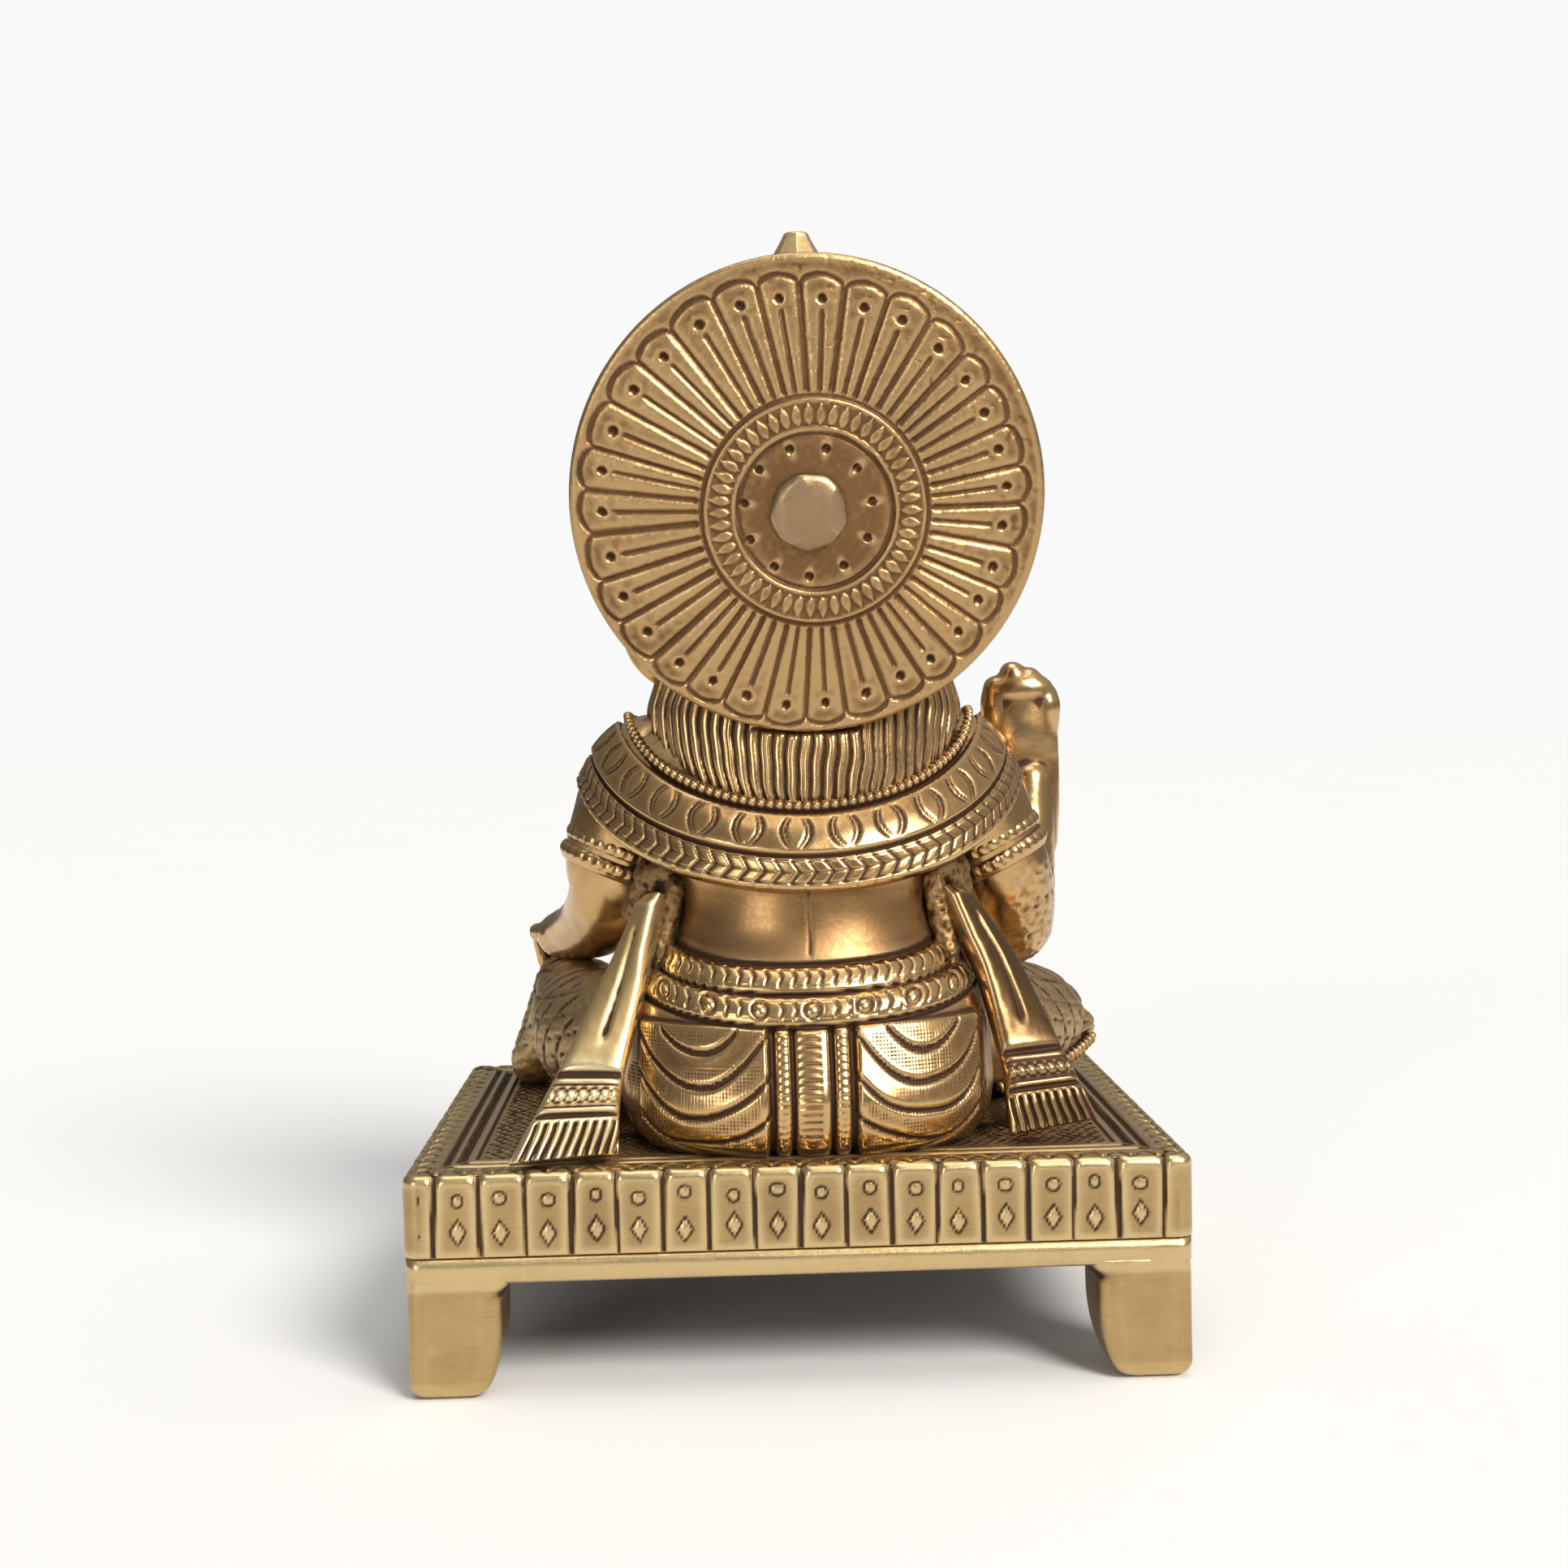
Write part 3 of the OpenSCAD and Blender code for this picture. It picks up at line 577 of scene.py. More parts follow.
# the hair: a close cap of straight locks, flat where it meets the disc
hair = {"centre": (headX, 1.5), "levels": [52, 56, 60, 64, 68, 72, 76, 80, 84, 88, 92, 96],
        "halfWide": [24.6, 25.4, 26.2, 27.0, 27.6, 27.6, 26.4, 25.4, 24.0, 22.0, 19.0, 14.0],
        "back": [25.6, 26.0, 25.8, 25.2, 24.4, 23.8, 24.4, 24.4, 24.3, 24.0, 21.0, 15.0],
        "front": 15.0, "square": 2.3, "locks": 80, "rise": 1.1}


def hairShell():
    # sections are ovals a little squarer than an ellipse; each lock is a half round between two sharp
    # grooves, with a depth of its own and a slow sideways drift
    z = np.concatenate([np.linspace(52, 78, 74), np.linspace(79, 96, 14)])[:, None]
    a = fullTurn(hair["locks"] * 10)
    w = spline(np.array([hair["levels"], hair["halfWide"], hair["back"]]).T, 200)
    wide, deep = (np.interp(z, w[:, 0], w[:, i]) for i in (1, 2))
    c, s = np.cos(a), np.sin(a)
    bend = (np.abs(c) ** hair["square"] + np.abs(s) ** hair["square"]) ** (-1 / hair["square"])
    reach = np.where(s > 0, deep, hair["front"])
    drift = 0.012 * np.sin(z * 0.35 + 4 * a) + 0.004 * np.sin(z * 0.9 + 9 * a)
    k = (a + drift) * hair["locks"] / (2 * pi)
    lock = np.floor(k).astype(int) % hair["locks"]
    size = 0.7 + 0.6 * rng.random(hair["locks"])[lock]
    rise = hair["rise"] * (np.sin(pi * (k % 1)) ** 0.42 * size - 1.0)
    rise = rise - 0.25 * cut((k % 1 - 0.5) * 1.4, 0.35) * (rng.random(hair["locks"])[lock] > 0.6)
    x = (wide * bend + rise) * c
    y = (reach * bend + rise) * s
    p = np.stack([hair["centre"][0] + x, hair["centre"][1] + y, z + 0 * a], -1)
    # filed to the disc's inner face
    face = halo["centre"][1] - 0.15 - (halo["centre"][2] - p[..., 2]) * np.tan(np.radians(halo["tilt"]))
    p[..., 1] = np.minimum(p[..., 1], face + 1.4 * np.clip(68.2 - p[..., 2], 0, 9))
    return loft(p)


# the head's front: broad brow, full cheeks, closed lids, and a trunk that curls to the left hand's side
face = {"trunk": [[headX, -19, 77, 8.5], [headX, -27, 67, 7.6], [0, -30.5, 57, 6.5], [4, -32, 48, 5.6],
                  [11, -33, 40, 4.9], [18, -33, 36.5, 4.4], [23, -32.5, 39.3, 3.8]], "rings": 17, "ringDepth": 0.3,
        # balls on the middle line: centre, then half sizes
        "skull": [([headX, -8, 80], [17, 14.5, 12.5]), ([headX, -1, 86], [20.5, 19, 10.5]),
                  ([headX, 0, 78], [22, 16, 12])],
        "brow": [([headX, -19.5, 84], [9, 4.2, 6]), ([headX, -17, 70.5], [6.5, 5.5, 3.2])],
        # each side's balls, temple, cheek and eye, and its eyebrow and lid, measured from the middle line
        "sides": [([8, -15, 88.5], [8.2, 7.5, 6]), ([11.5, -14, 76], [6.5, 7, 6.5]),
                  ([9.3, -20.2, 81.6], [3.5, 1.9, 1.9])],
        "eyebrow": [[5.2, -21.6, 84.2, 0.7], [9, -21.8, 85.8, 0.8], [13.5, -18.9, 84.6, 0.6]],
        "lid": [[6.0, -21.9, 81.0, 0.45], [9.2, -22.3, 80.2, 0.5], [12.6, -20.1, 81.0, 0.4]]}


def headMesh():
    # the trunk's rings are shallow steps where |cos| is small, left out along its outer side
    ring = lambda t, a: -face["ringDepth"] * (np.abs(np.cos(pi * face["rings"] * t)) < 0.28) * (np.sin(a) < 0.75)
    shells = [ball(*oval) for oval in face["skull"]] + [tube(face["trunk"], 150, 40, ripple=ring)]
    shells += [ball(*oval) for oval in face["brow"]]
    for side in (-1, 1):
        mirrored = lambda point: [headX + side * point[0]] + point[1:]
        shells += [ball(mirrored(centre), size) for centre, size in face["sides"]]
        shells += [tube([mirrored(k) for k in face[name]], 20, cols) for name, cols in (("eyebrow", 14), ("lid", 12))]
    return cast(shells, 0.55, 3, "head")


addToFigure("headAndHair", withShells(headMesh(), [hairShell()]), "head", figureBrass)

# fan ears: a dished leaf with ribs, thick at the root
ear = {"centre": (25.4, -8.4, 82.6), "halfWide": 6.3, "halfTall": 9.2, "thick": 2.2, "ribs": 7}


def earShell(side):
    # a grid over the fan: angle round the leaf and distance out from its middle; the two faces are
    # the middle sheet plus and minus a thickness that thins to the edge
    e = np.linspace(-pi / 2, pi / 2, 60)[:, None]
    a = fullTurn(150)
    out = np.cos(e)
    cx, cy, cz = ear["centre"]
    leafW = ear["halfWide"] * (1 + 0.10 * np.cos(2 * a) - 0.12 * np.sin(a))
    leafH = ear["halfTall"] * (1 + 0.1 * np.sin(a))
    z = cz + out * np.sin(a) * leafH
    x = cx + out * np.cos(a) * leafW - 0.42 * np.clip(84 - z, 0, 20)
    rib = 0.16 * np.cos(2 * ear["ribs"] * np.arctan2(z - 78, x - 17)) * ramp(0.25, 0.8, out) * ramp(-0.98, -0.9, -out)
    thick = ear["thick"] * 0.75 + 0.5 * np.exp(-((x - 20) / 3) ** 2)
    y = cy - 0.14 * (x - 25) + 0.9 * (out ** 2) * 0.6 + np.sin(e) * thick + rib * np.sign(e)
    return loft(np.stack([x * side + headX, y, z], -1))


for side, name in ((1, "left"), (-1, "right")):
    addToFigure(name + "EarFan", earShell(side), name + "_ear", figureBrass)

# tusks: the right one is broken short
tusk = {"left": 19.0, "right": 13.0, "thick": 2.6, "root": (10, -18, 74), "knots": (0.1, 0.4, 0.7, 0.96)}


def tuskShell(side, reach):
    # a curved peg: out, forward and down in step with t, sagging by t (t - 1), thinner to its end;
    # two thin bands stand proud of it
    x, y, z = tusk["root"]
    knots = [[headX + side * (x + reach * 0.3 * t), y - reach * 0.75 * t, z - reach * 0.6 * t + 2.2 * t * (t - 1),
              tusk["thick"] * (1.02 - 0.42 * t)] for t in tusk["knots"]]
    bands = lambda t, a: 0.12 * (np.abs(t - 0.3) < 0.03) + 0.12 * (np.abs(t - 0.42) < 0.03)
    return tube(knots, 60, 40, ripple=bands)


for side, name in ((1, "left"), (-1, "right")):
    addToFigure(name + "Tusk", tuskShell(side, tusk[name]), name + "_tusk", polishedAndSheenBrass)
print("head ready")

# the seated body: hips in a draped cloth, two belts, a bare back, and shoulders under the collar
torso = {"levels": [0, 2, 5, 9, 13, 17, 21, 25, 29, 33, 37, 41, 45, 49, 53, 57, 61, 65, 69, 72],
         "halfWide": [27.4, 29.4, 30.9, 31.5, 31.5, 31.5, 31.3, 30.3, 27.8, 25.0,
                      23.9, 24.1, 25.0, 27.2, 31.6, 35.4, 36.6, 34.6, 27.0, 16.0],
         "back": [40.4, 42.6, 44.0, 44.5, 43.4, 41.8, 40.0, 37.9, 35.2, 33.2,
                  32.2, 31.8, 31.6, 30.2, 27.2, 24.4, 21.6, 18.4, 13.5, 9],
         "middle": [20, 20, 20, 20, 19, 17.5, 16, 14.5, 12, 9, 7.5, 6.5, 6, 5, 4, 3.5, 3, 3, 3, 3],
         "panel": 6.5, "cheek": 18.8, "belts": [(20.9, 25.1), (25.7, 29.5)],
         # swags: height at their middle, how far their ends rise, half width
         "swags": [(16.7, 3.4, 6.6), (11.7, 7.6, 11.6), (6.9, 6.4, 11.8), (2.5, 4.6, 11.8)]}


def torsoShell():
    # sections are ovals at each height, squarer behind; s is the length along the skin from the
    # middle of the back; every carved line is a bell of the distance to it in (s, z)
    z = np.concatenate([np.linspace(0.02, 46, 164), np.linspace(47.5, 72, 15)])[:, None]
    a = np.concatenate([np.linspace(-0.12, pi + 0.12, 432), np.linspace(pi + 0.2, 2 * pi - 0.2, 76)])[None, :]
    w = spline(np.array([torso["levels"], torso["halfWide"], torso["back"], torso["middle"]]).T, 400)
    wide, back, mid = (np.interp(z, w[:, 0], w[:, i]) for i in (1, 2, 3))
    n = np.interp(z, [0, 20, 30, 45, 60], [2.5, 2.45, 2.2, 2.1, 2.0])
    c, sn = np.cos(a), np.sin(a)
    bend = (np.abs(c) ** n + np.abs(sn) ** n) ** (-1 / n)
    deep = np.where(sn > 0, back - mid, 22.0 + 0 * mid)
    p = np.stack([wide * bend * c, mid + deep * bend * sn, z + 0 * a], -1)
    step = np.linalg.norm(np.diff(p, axis=1), axis=-1)
    s = np.concatenate([0 * step[:, :1], np.cumsum(step, 1)], 1)
    s = s - s[:, 216:217]
    z = z + 0 * a
    behind = ramp(-0.1, 0.1, sn) + 0 * z
    # cloth: swags, each a groove under a rolled lip, with fine hatching in patches
    m = np.abs(s) - torso["cheek"]
    h, cloth = 0 * z, ramp(-21.2, -20.6, -z)
    for low, sag, half in torso["swags"]:
        u = np.abs(m / half)
        line = low + sag * u ** 2.2 + 0.25 * np.sin(s * 0.4 + low)
        on = ramp(-1.06, -0.98, -u)
        d = z - line
        lip = 0.42 * np.exp(-np.clip(d, 0, 9) / 1.5) * (d > 0) + 0.16 * np.exp(-np.clip(-d, 0, 9) / 0.9) * (d <= 0)
        h = h + on * (lip - 0.8 * cut(d, 1.1))
    patch = ramp(-0.5, 0.1, grain(p, 4.0))
    hatch = np.sin(2 * pi * (s + z) / 1.15) * np.sin(2 * pi * (s - z) / 1.15)
    h = h + 0.15 * hatch * patch
    h = h + 0.5 * ramp(-11.9, -11.2, -np.abs(m))
    # middle pleats: a broad rib between two beaded strings
    e = np.abs(s)
    panel = ramp(-torso["panel"] - 0.25, -torso["panel"] + 0.25, -e)
    notches = cut(saw(z / 1.25 + 0.40 * (s / 2.9) ** 2) * 1.25, 0.5) * (np.abs(s + 0.5) < 1.9)
    rib = 0.75 * dome(s / 2.9) - 0.16 * notches
    cord = 0.7 * dome((e - 4.75) / 1.35) * (0.72 + 0.28 * np.abs(np.cos(pi * (z / 1.2 + (e - 4.75) * 0.12))))
    h = h * (1 - panel) + panel * (np.maximum(rib, cord) - 0.35)
    h = h - 0.75 * cut(e - 3.15, 0.8) - 0.9 * cut(e - torso["panel"] - 0.1, 1.0)
    h = h * cloth * behind
    # belts: raised bands between cut borders, one of arrowheads, one of ringed dots and arrowheads
    for k, (low, high) in enumerate(torso["belts"]):
        dip = 0.012 * s ** 2 * 0.35 + 0.15 * np.sin(s * 0.15 + k)
        low, high = low + dip, high + dip
        centre, half = (low + high) / 2, (high - low) / 2
        v = (z - centre) / half
        band = ramp(-1.08, -0.92, -np.abs(v))
        h = h * (1 - band) + band * (0.95 - 0.25 * v ** 2)
        h = h - band * 0.28 * cut(np.abs(v) - 0.74, 0.16)
        arrow = cut(saw(s / 2.2 + 0.42 * np.abs(v)) * 2.2, 0.46) * (np.abs(v) < 0.66)
        if k == 0:
            far = np.hypot(saw((s - 0.2) / 8.4) * 8.4, z - centre)
            arrow = arrow * ramp(1.9, 2.2, far)
            h = h + band * (-0.34 * cut(far - 1.25, 0.5) + 0.22 * np.exp(-(far / 0.7) ** 2))
        h = h - band * 0.3 * arrow
        h = h - 0.75 * cut(z - high - 0.25, 0.8) * behind - (0.7 * cut(z - low + 0.3, 0.8) * behind if k == 0 else 0)
    # bare back with a faint cast seam down its middle
    bare = ramp(30.2, 31.2, z) * behind
    h = h + bare * (0.05 * grain(p, 5.0) - 0.07 * cut(s - 0.3 + 0.12 * np.sin(z * 0.7), 0.9) * ramp(30, 32, z))
    h = h * (behind * 0.92 + 0.08)
    p = p + normalsOf(p) * h[..., None]
    p[..., 2] = np.maximum(p[..., 2], 0.0)
    return loft(p)


# the front: belly, chest, neck, shoulders and the thread across them
belly = {"oval": ([0, -8.5, 23], [24.6, 24.0, 20.0]), "navelZ": 21, "navelDeep": 1.6, "twists": 62,
         "balls": [([9, -8, 50], [12.5, 10, 9]), ([-9, -8, 50], [12.5, 10, 9]), ([0, 1, 63], [20, 18, 7]),
                   ([25.6, 1.5, 61.2], [9.6, 10.5, 9.6]), ([-26.8, 1.5, 61.2], [9.6, 10.5, 9.6])],
         "cord": [[19, 2, 62, 1.1], [13, -10, 52.5, 1.1], [5, -21.5, 45, 1.1], [-8, -28.5, 34, 1.1],
                  [-18, -25.5, 20, 1.1], [-23, -14, 12, 1.1]]}


def bellyShells():
    # a round belly with a navel, which is a bell pressed into its front; the chest, neck and shoulders
    # are balls, and the cord's twist is a cosine of its length and angle
    p = ovalGrid(*belly["oval"], 88, 160)
    navel = belly["navelDeep"] * np.exp(-(p[..., 0] ** 2 + (p[..., 2] - belly["navelZ"]) ** 2) / 2.4)
    p[..., 1] = p[..., 1] + navel * (p[..., 1] < -20)
    p[..., 2] = np.maximum(p[..., 2], 0.6)
    cord = tube(belly["cord"], 260, 14, ripple=lambda t, b: 0.22 * np.cos(t * 2 * pi * belly["twists"] + b))
    return [loft(p)] + [ball(*oval) for oval in belly["balls"]] + [cord]


# the collar: a cape in three tiers, beads, a band of paired crescents, and a plaited border
collar = {"tiers": [2.5, 9.7, 14.3], "crescents": 27, "beads": 124, "plaits": 86,
          "innerWide": 28.7, "outerWide": 39.6, "innerBack": 25.6, "outerBack": 33.2, "sideTop": 70.6, "sideLow": 59.6,
          "backTop": 56.4, "backLow": 42.6, "frontTop": 56.0, "frontLow": 45.0, "innerFront": 21.0, "outerFront": 27.0}


def collarShell():
    # a ring-shaped sheet: at angle a and t across, an oval whose height runs from the shoulders' to the
    # back's in step with sin a, bowed outward; its tiers and carving stand off along the normal
    cols = 744
    a = fullTurn(cols)
    t = np.linspace(0, 1, 74)[:, None]
    k = collar
    sn = np.sin(a)
    lean = (np.sqrt(sn ** 2 + 0.02) - np.sqrt(0.02)) / (np.sqrt(1.02) - np.sqrt(0.02))
    between = lambda start, end, power=1: k[start] + (k[end] - k[start]) * t ** power
    wide = between("innerWide", "outerWide", 0.9)
    rear, front = between("innerBack", "outerBack", 0.8), between("innerFront", "outerFront", 0.8)
    side = between("sideTop", "sideLow", 1.25)
    behind, ahead = between("backTop", "backLow"), between("frontTop", "frontLow")
    soft = ramp(-0.35, 0.35, sn)
    deep = rear * soft + front * (1 - soft)
    low = behind * soft + ahead * (1 - soft)
    p = np.stack([wide * np.cos(a) - 0.6 + 0 * t, deep * sn + 1.0, side + (low - side) * lean], -1)
    n = normalsOf(p)
    n = n * np.sign(n[..., 0:1] * np.cos(a)[..., None] + n[..., 1:2] * sn[..., None])
    d = t * k["tiers"][-1] + 0 * a                           # mm from the inner edge
    p = p + n * (1.5 * np.sin(pi * t) * (0.6 + 0.4 * np.abs(sn)))[..., None]
    t1, t2, t3 = k["tiers"]
    u = a / (2 * pi) + 0 * t
    bead = np.hypot(offWhole(u * k["beads"]) * 1.75, d - 1.3)
    h = 0.95 * dome(bead / 0.92) * (d < t1) + 0.25 * cut(d - 1.3, 2.0)
    h = h + 0.5 * ramp(t1 + 0.1, t1 + 0.6, d) * ramp(-t2 + 0.1, -t2 + 0.5, -d)
    h = h - 0.8 * cut(d - t1, 0.8) - 0.7 * cut(d - t2, 0.75)
    # paired crescents: two double arcs bowed apart
    w = saw(u * k["crescents"] + 0.5) * 7.7
    v = d - (t1 + t2) / 2 - 0.2
    bow = 2.35 - 0.17 * v ** 2 - 0.16 * v
    inBand = ramp(-2.75, -2.45, -np.abs(v))
    h = h - 0.36 * inBand * (cut(w - bow, 0.55) + 0.7 * cut(w - bow + 0.75, 0.42)) * dome(v / 2.75)
    # plaited border
    v = (d - (t2 + t3) / 2 - 0.1) / 1.9
    strand = u * k["plaits"] + 0.55 * np.abs(v) + 0.1
    plait = cut(saw(strand) * 2.4, 0.5) * (np.abs(v) < 0.86)
    slope = (strand % 1 - 0.5) * 0.22
    h = h + (d > t2 + 0.2) * (0.1 + slope - 0.28 * plait - 0.22 * cut(np.abs(v) - 0.88, 0.16) - 0.12 * cut(v, 0.12))
    h = h + 0.05 * grain(p, 3.0)
    top = p + n * h[..., None]
    edge = top[-1] + np.array([0, 0, -0.5]) - n[-1] * 0.5
    under = [edge, p[-1] - n[-1] * 1.6 - [0, 0, 0.6], p[37] - n[37] * 3.2, p[8] - n[8] * 3.0]
    ring = np.concatenate([top, np.stack(under), (p[0] - n[0] * 2.2)[None]])
    c = np.arange(cols)
    n = (c + 1) % cols
    last = (len(ring) - 1) * cols
    quads = np.vstack([gridFaces(len(ring), cols), np.stack([last + c, last + n, n, c], -1)])   # closes on itself
    return outward({"points": ring.reshape(-1, 3), "quads": quads, "tris": np.zeros((0, 3), int)})


addToFigure("seatedBody", torsoShell(), "body", figureBrass)
addToFigure("roundBelly", joined(bellyShells()), "body", figureBrass)
addToFigure("tieredCollar", collarShell(), "body", figureBrass)
print("body ready")

# arms: cast limbs, each with an armlet of two rows of beads; the left hand drapes, the right is raised
arms = {"leftLimb": [[29.0, 3, 54, 10.4], [31.4, 2.8, 46.5, 9.9], [31.9, 1.2, 40, 9.2], [35.4, -6, 34.5, 7.4],
                     [39.6, -13, 31.2, 5.8], [42.6, -18, 29.8, 5.0]],
        "leftThumb": [[39.2, -17, 30, 1.9], [37.3, -20.5, 29, 1.7], [36.6, -24, 27.5, 1.4]],
        "rightLimb": [[-30.5, 3, 54, 10.4], [-33.6, 2.4, 46.5, 9.9], [-36.6, 0.6, 39.5, 9.2], [-38.6, -5.5, 32, 8.2],
                      [-41.0, -10.5, 38.5, 7.0], [-43, -12.7, 48, 5.5], [-44, -14, 56.5, 4.5]],
        "rightHand": [[-43.0, -13.2, 46, 6.2], [-43.4, -14.0, 54, 6.4], [-43.2, -14.8, 60, 6.7], [-42.9, -15, 66, 6.9],
                      [-42.8, -15.2, 69.4, 6.5]],
        "rightThumb": [[-39.6, -16.0, 59, 2.4], [-37.2, -17.6, 64.0, 2.0], [-36.4, -18.4, 68.6, 1.6]],
        "rightTips": (76.4, 79.0, 77.9, 74.6), "voxel": 0.55}
band = {"wide": 6.8, "beads": 32, "lift": 0.35, "left": ([31.6, 2.6, 45.6], [5.4, 0.2, -13], 9.75),
        "right": ([-34.2, 2.2, 45.6], [-6.6, 0.2, -13], 9.65)}


def armlet(centre, axis, radius):
    # a belt round a limb: at angle a and height v across it, a circle of the limb's radius plus two
    # rows of beads and cut borders
    beads = band["beads"]
    axis = np.asarray(axis, float) / np.linalg.norm(axis)
    u = np.cross([0, 1, 0], axis)
    u /= np.linalg.norm(u)
    w = np.cross(axis, u)
    a = fullTurn(beads * 9)
    v = np.linspace(-1, 1, 34)[:, None]
    t = a * beads / (2 * pi) + 0.5 * (v > 0)
    row = dome((np.abs(v) - 0.46) / 0.34) * (0.55 + 0.45 * np.abs(np.cos(pi * t)))
    r = radius + (band["lift"] + 0.62 * row - 0.35 * cut(v, 0.16) - 0.5 * ramp(0.86, 1.0, np.abs(v)))
    inner = 0 * r[:1] + radius - 1.6
    r = np.concatenate([inner, r, inner])
    v = np.concatenate([v[:1], v, v[-1:]])
    out = (r * np.cos(a))[..., None] * u + (r * np.sin(a))[..., None] * w
    return loft(np.asarray(centre, float) + out + (v * band["wide"] / 2)[..., None] * axis)


def leftArmMesh():
    # the limb, a flat ball for the hand, four fingers bent down over the knee and a thumb
    shells = [tube(arms["leftLimb"], 90, 48), ball([43.4, -20.0, 29.4], [5.4, 6.0, 4.6])]
    for i in range(4):
        x = 39.9 + 2.75 * i
        shells.append(tube([[x + 0.6, -21.5, 29.8, 1.7], [x + 0.5, -25.6, 28.9, 1.75], [x + 0.3, -28.2, 26.0, 1.6],
                            [x, -28.9, 22.0 + 0.4 * abs(i - 1), 1.3]], 30, 18))
    shells.append(tube(arms["leftThumb"], 24, 18))
    return cast(shells, arms["voxel"], 3, "leftArm")


def rightArmMesh():
    # the limb, a hand half as thick as it is wide, a thumb and four upright fingers side by side
    shells = [tube(arms["rightLimb"], 110, 48), tube(arms["rightHand"], 60, 48, 0.52, (0, 1, 0)),
              ball([-42.7, -15.0, 73.4], [6.6, 3.1, 4.0]), tube(arms["rightThumb"], 24, 18)]
    for i, tall in enumerate(arms["rightTips"]):
        x = -38.2 - 3.1 * i
        knots = [[x * 0.9 - 4.3, -15.2, 64, 2.6], [x, -15.2, 70.5, 2.9], [x - 0.1, -15.4, tall - 2.3, 2.5]]
        shells.append(tube(knots, 36, 20))
    return cast(shells, arms["voxel"], 5, "rightArm")


def armGrain(points):
    # smooth skin above; below the elbow the right arm is left rough from the mould
    x, z = points[:, 0], points[:, 2]
    rough = np.clip((-35.5 - x) / 3, 0, 1) * np.clip((44 - z) / 4, 0, 1)
    return 0.05 * grain(points, 2.5) + rough * (0.16 * grain(points, 1.0) + 0.10 * grain(points + 9, 0.6))


def castPiece(name, mesh, depth, extra, node, material):
    # a cast mesh takes its relief, gets its bands or hems, and stays above the deck
    whole = withShells(relief(mesh, depth), extra)
    whole["points"][:, 2] = np.maximum(whole["points"][:, 2], 0.02)
    addToFigure(name, whole, node, material)


castPiece("leftArmCast", leftArmMesh(), armGrain, [armlet(*band["left"])], "left_arm", figureBrass)
castPiece("rightArmCast", rightArmMesh(), armGrain, [armlet(*band["right"])], "right_arm", figureBrass)

# legs: the cloth over them is left matt and grainy, with crossed lines at the knees and a beaded hem on the right
legs = {"leftThigh": [[15, 6, 14, 14], [27, 3, 13.6, 13.4], [36, -3, 13.2, 12.2], [40.5, -15, 17, 9.2],
                      [43, -21, 19.5, 6.6]],
        "leftShin": [[43, -21, 19.5, 6.6], [47.2, -24, 11, 5.4], [50, -25.5, 5.0, 4.8], [51, -32, 4.2, 4.1],
                     [51.5, -39, 3.4, 3.3]],
        "rightThigh": [[-16, 5, 14, 14], [-31, -6, 13, 12.8], [-44, -17, 11.6, 10.4], [-51, -21, 10.4, 6.8],
                       [-54.4, -22, 9.6, 3.0]],
        "rightShin": [[-45, -20, 8.5, 8.2], [-25, -33, 7, 6.8], [-4, -37.3, 5.4, 5.1], [6, -38.6, 4.7, 4.6]],
        "hemBeads": [[-56.0, -18.6, 7.6, 0.9], [-50.8, -12.6, 5.2, 1.1], [-43.6, -5.6, 3.4, 1.2], [-36, 1.4, 2.4, 1.2]],
        "hemCord": [[-56.0, -19.6, 9.8, 0.6], [-50.6, -12.6, 8.8, 0.7], [-43.2, -5.8, 7.4, 0.7], [-35, 2.6, 6.4, 0.7]],
        "voxel": 0.62}


def legGrain(points):
    # matt casting grain, and crossed lines engraved over the knees
    x, y, z = points.T
    h = 0.06 * grain(points, 1.3) + 0.05 * grain(points + 5, 0.7)
    far = np.abs(x)
    knee = ramp(37, 41, far) * (z > 1.5)
    lines = np.minimum(saw((z + 0.35 * far) / 3.3) * 3.3, saw((y - 0.3 * z) / 3.6) * 3.6)
    return h - 0.30 * knee * cut(lines, 0.8) + 0.05 * knee * np.cos(2 * pi * (z + 0.35 * far) / 3.3)


def legMesh(side, thigh, shin, foot, toes):
    # thigh, shin, foot and four toes; thigh and shin are their steps along and around
    shells = [tube(legs[side + "Thigh"], *thigh), tube(legs[side + "Shin"], *shin), ball(*foot)]
    return cast(shells + [tube(toe, 12, 14) for toe in toes], legs["voxel"], 3, side + "Leg")


leftToes = [[[48.3 + 1.5 * i, -38.5, 2.6, 1.4], [48.2 + 1.55 * i, -41.6 + 0.3 * i, 2.0, 1.25]] for i in range(4)]
leftLeg = legMesh("left", (80, 52), (80, 40), ([51, -34, 2.9], [4.2, 8, 2.7]), leftToes)
rightToes = [[[17.0, -41.6 + 2.0 * i, 4.4, 1.5], [21.4 - 0.5 * i, -41.4 + 2.0 * i, 3.4, 1.3]] for i in range(4)]
rightLeg = legMesh("right", (80, 52), (90, 40), ([12, -38.6, 4.2], [8.5, 4.6, 4.1]), rightToes)
hemRipple = lambda t, b: 0.3 * np.cos(t * 2 * pi * 19)
hems = [tube(legs["hemBeads"], 240, 16, ripple=hemRipple), tube(legs["hemCord"], 90, 12)]
castPiece("leftLegCast", leftLeg, legGrain, [], "left_leg", rawBrass)
castPiece("rightLegCast", rightLeg, legGrain, hems, "right_leg", rawBrass)

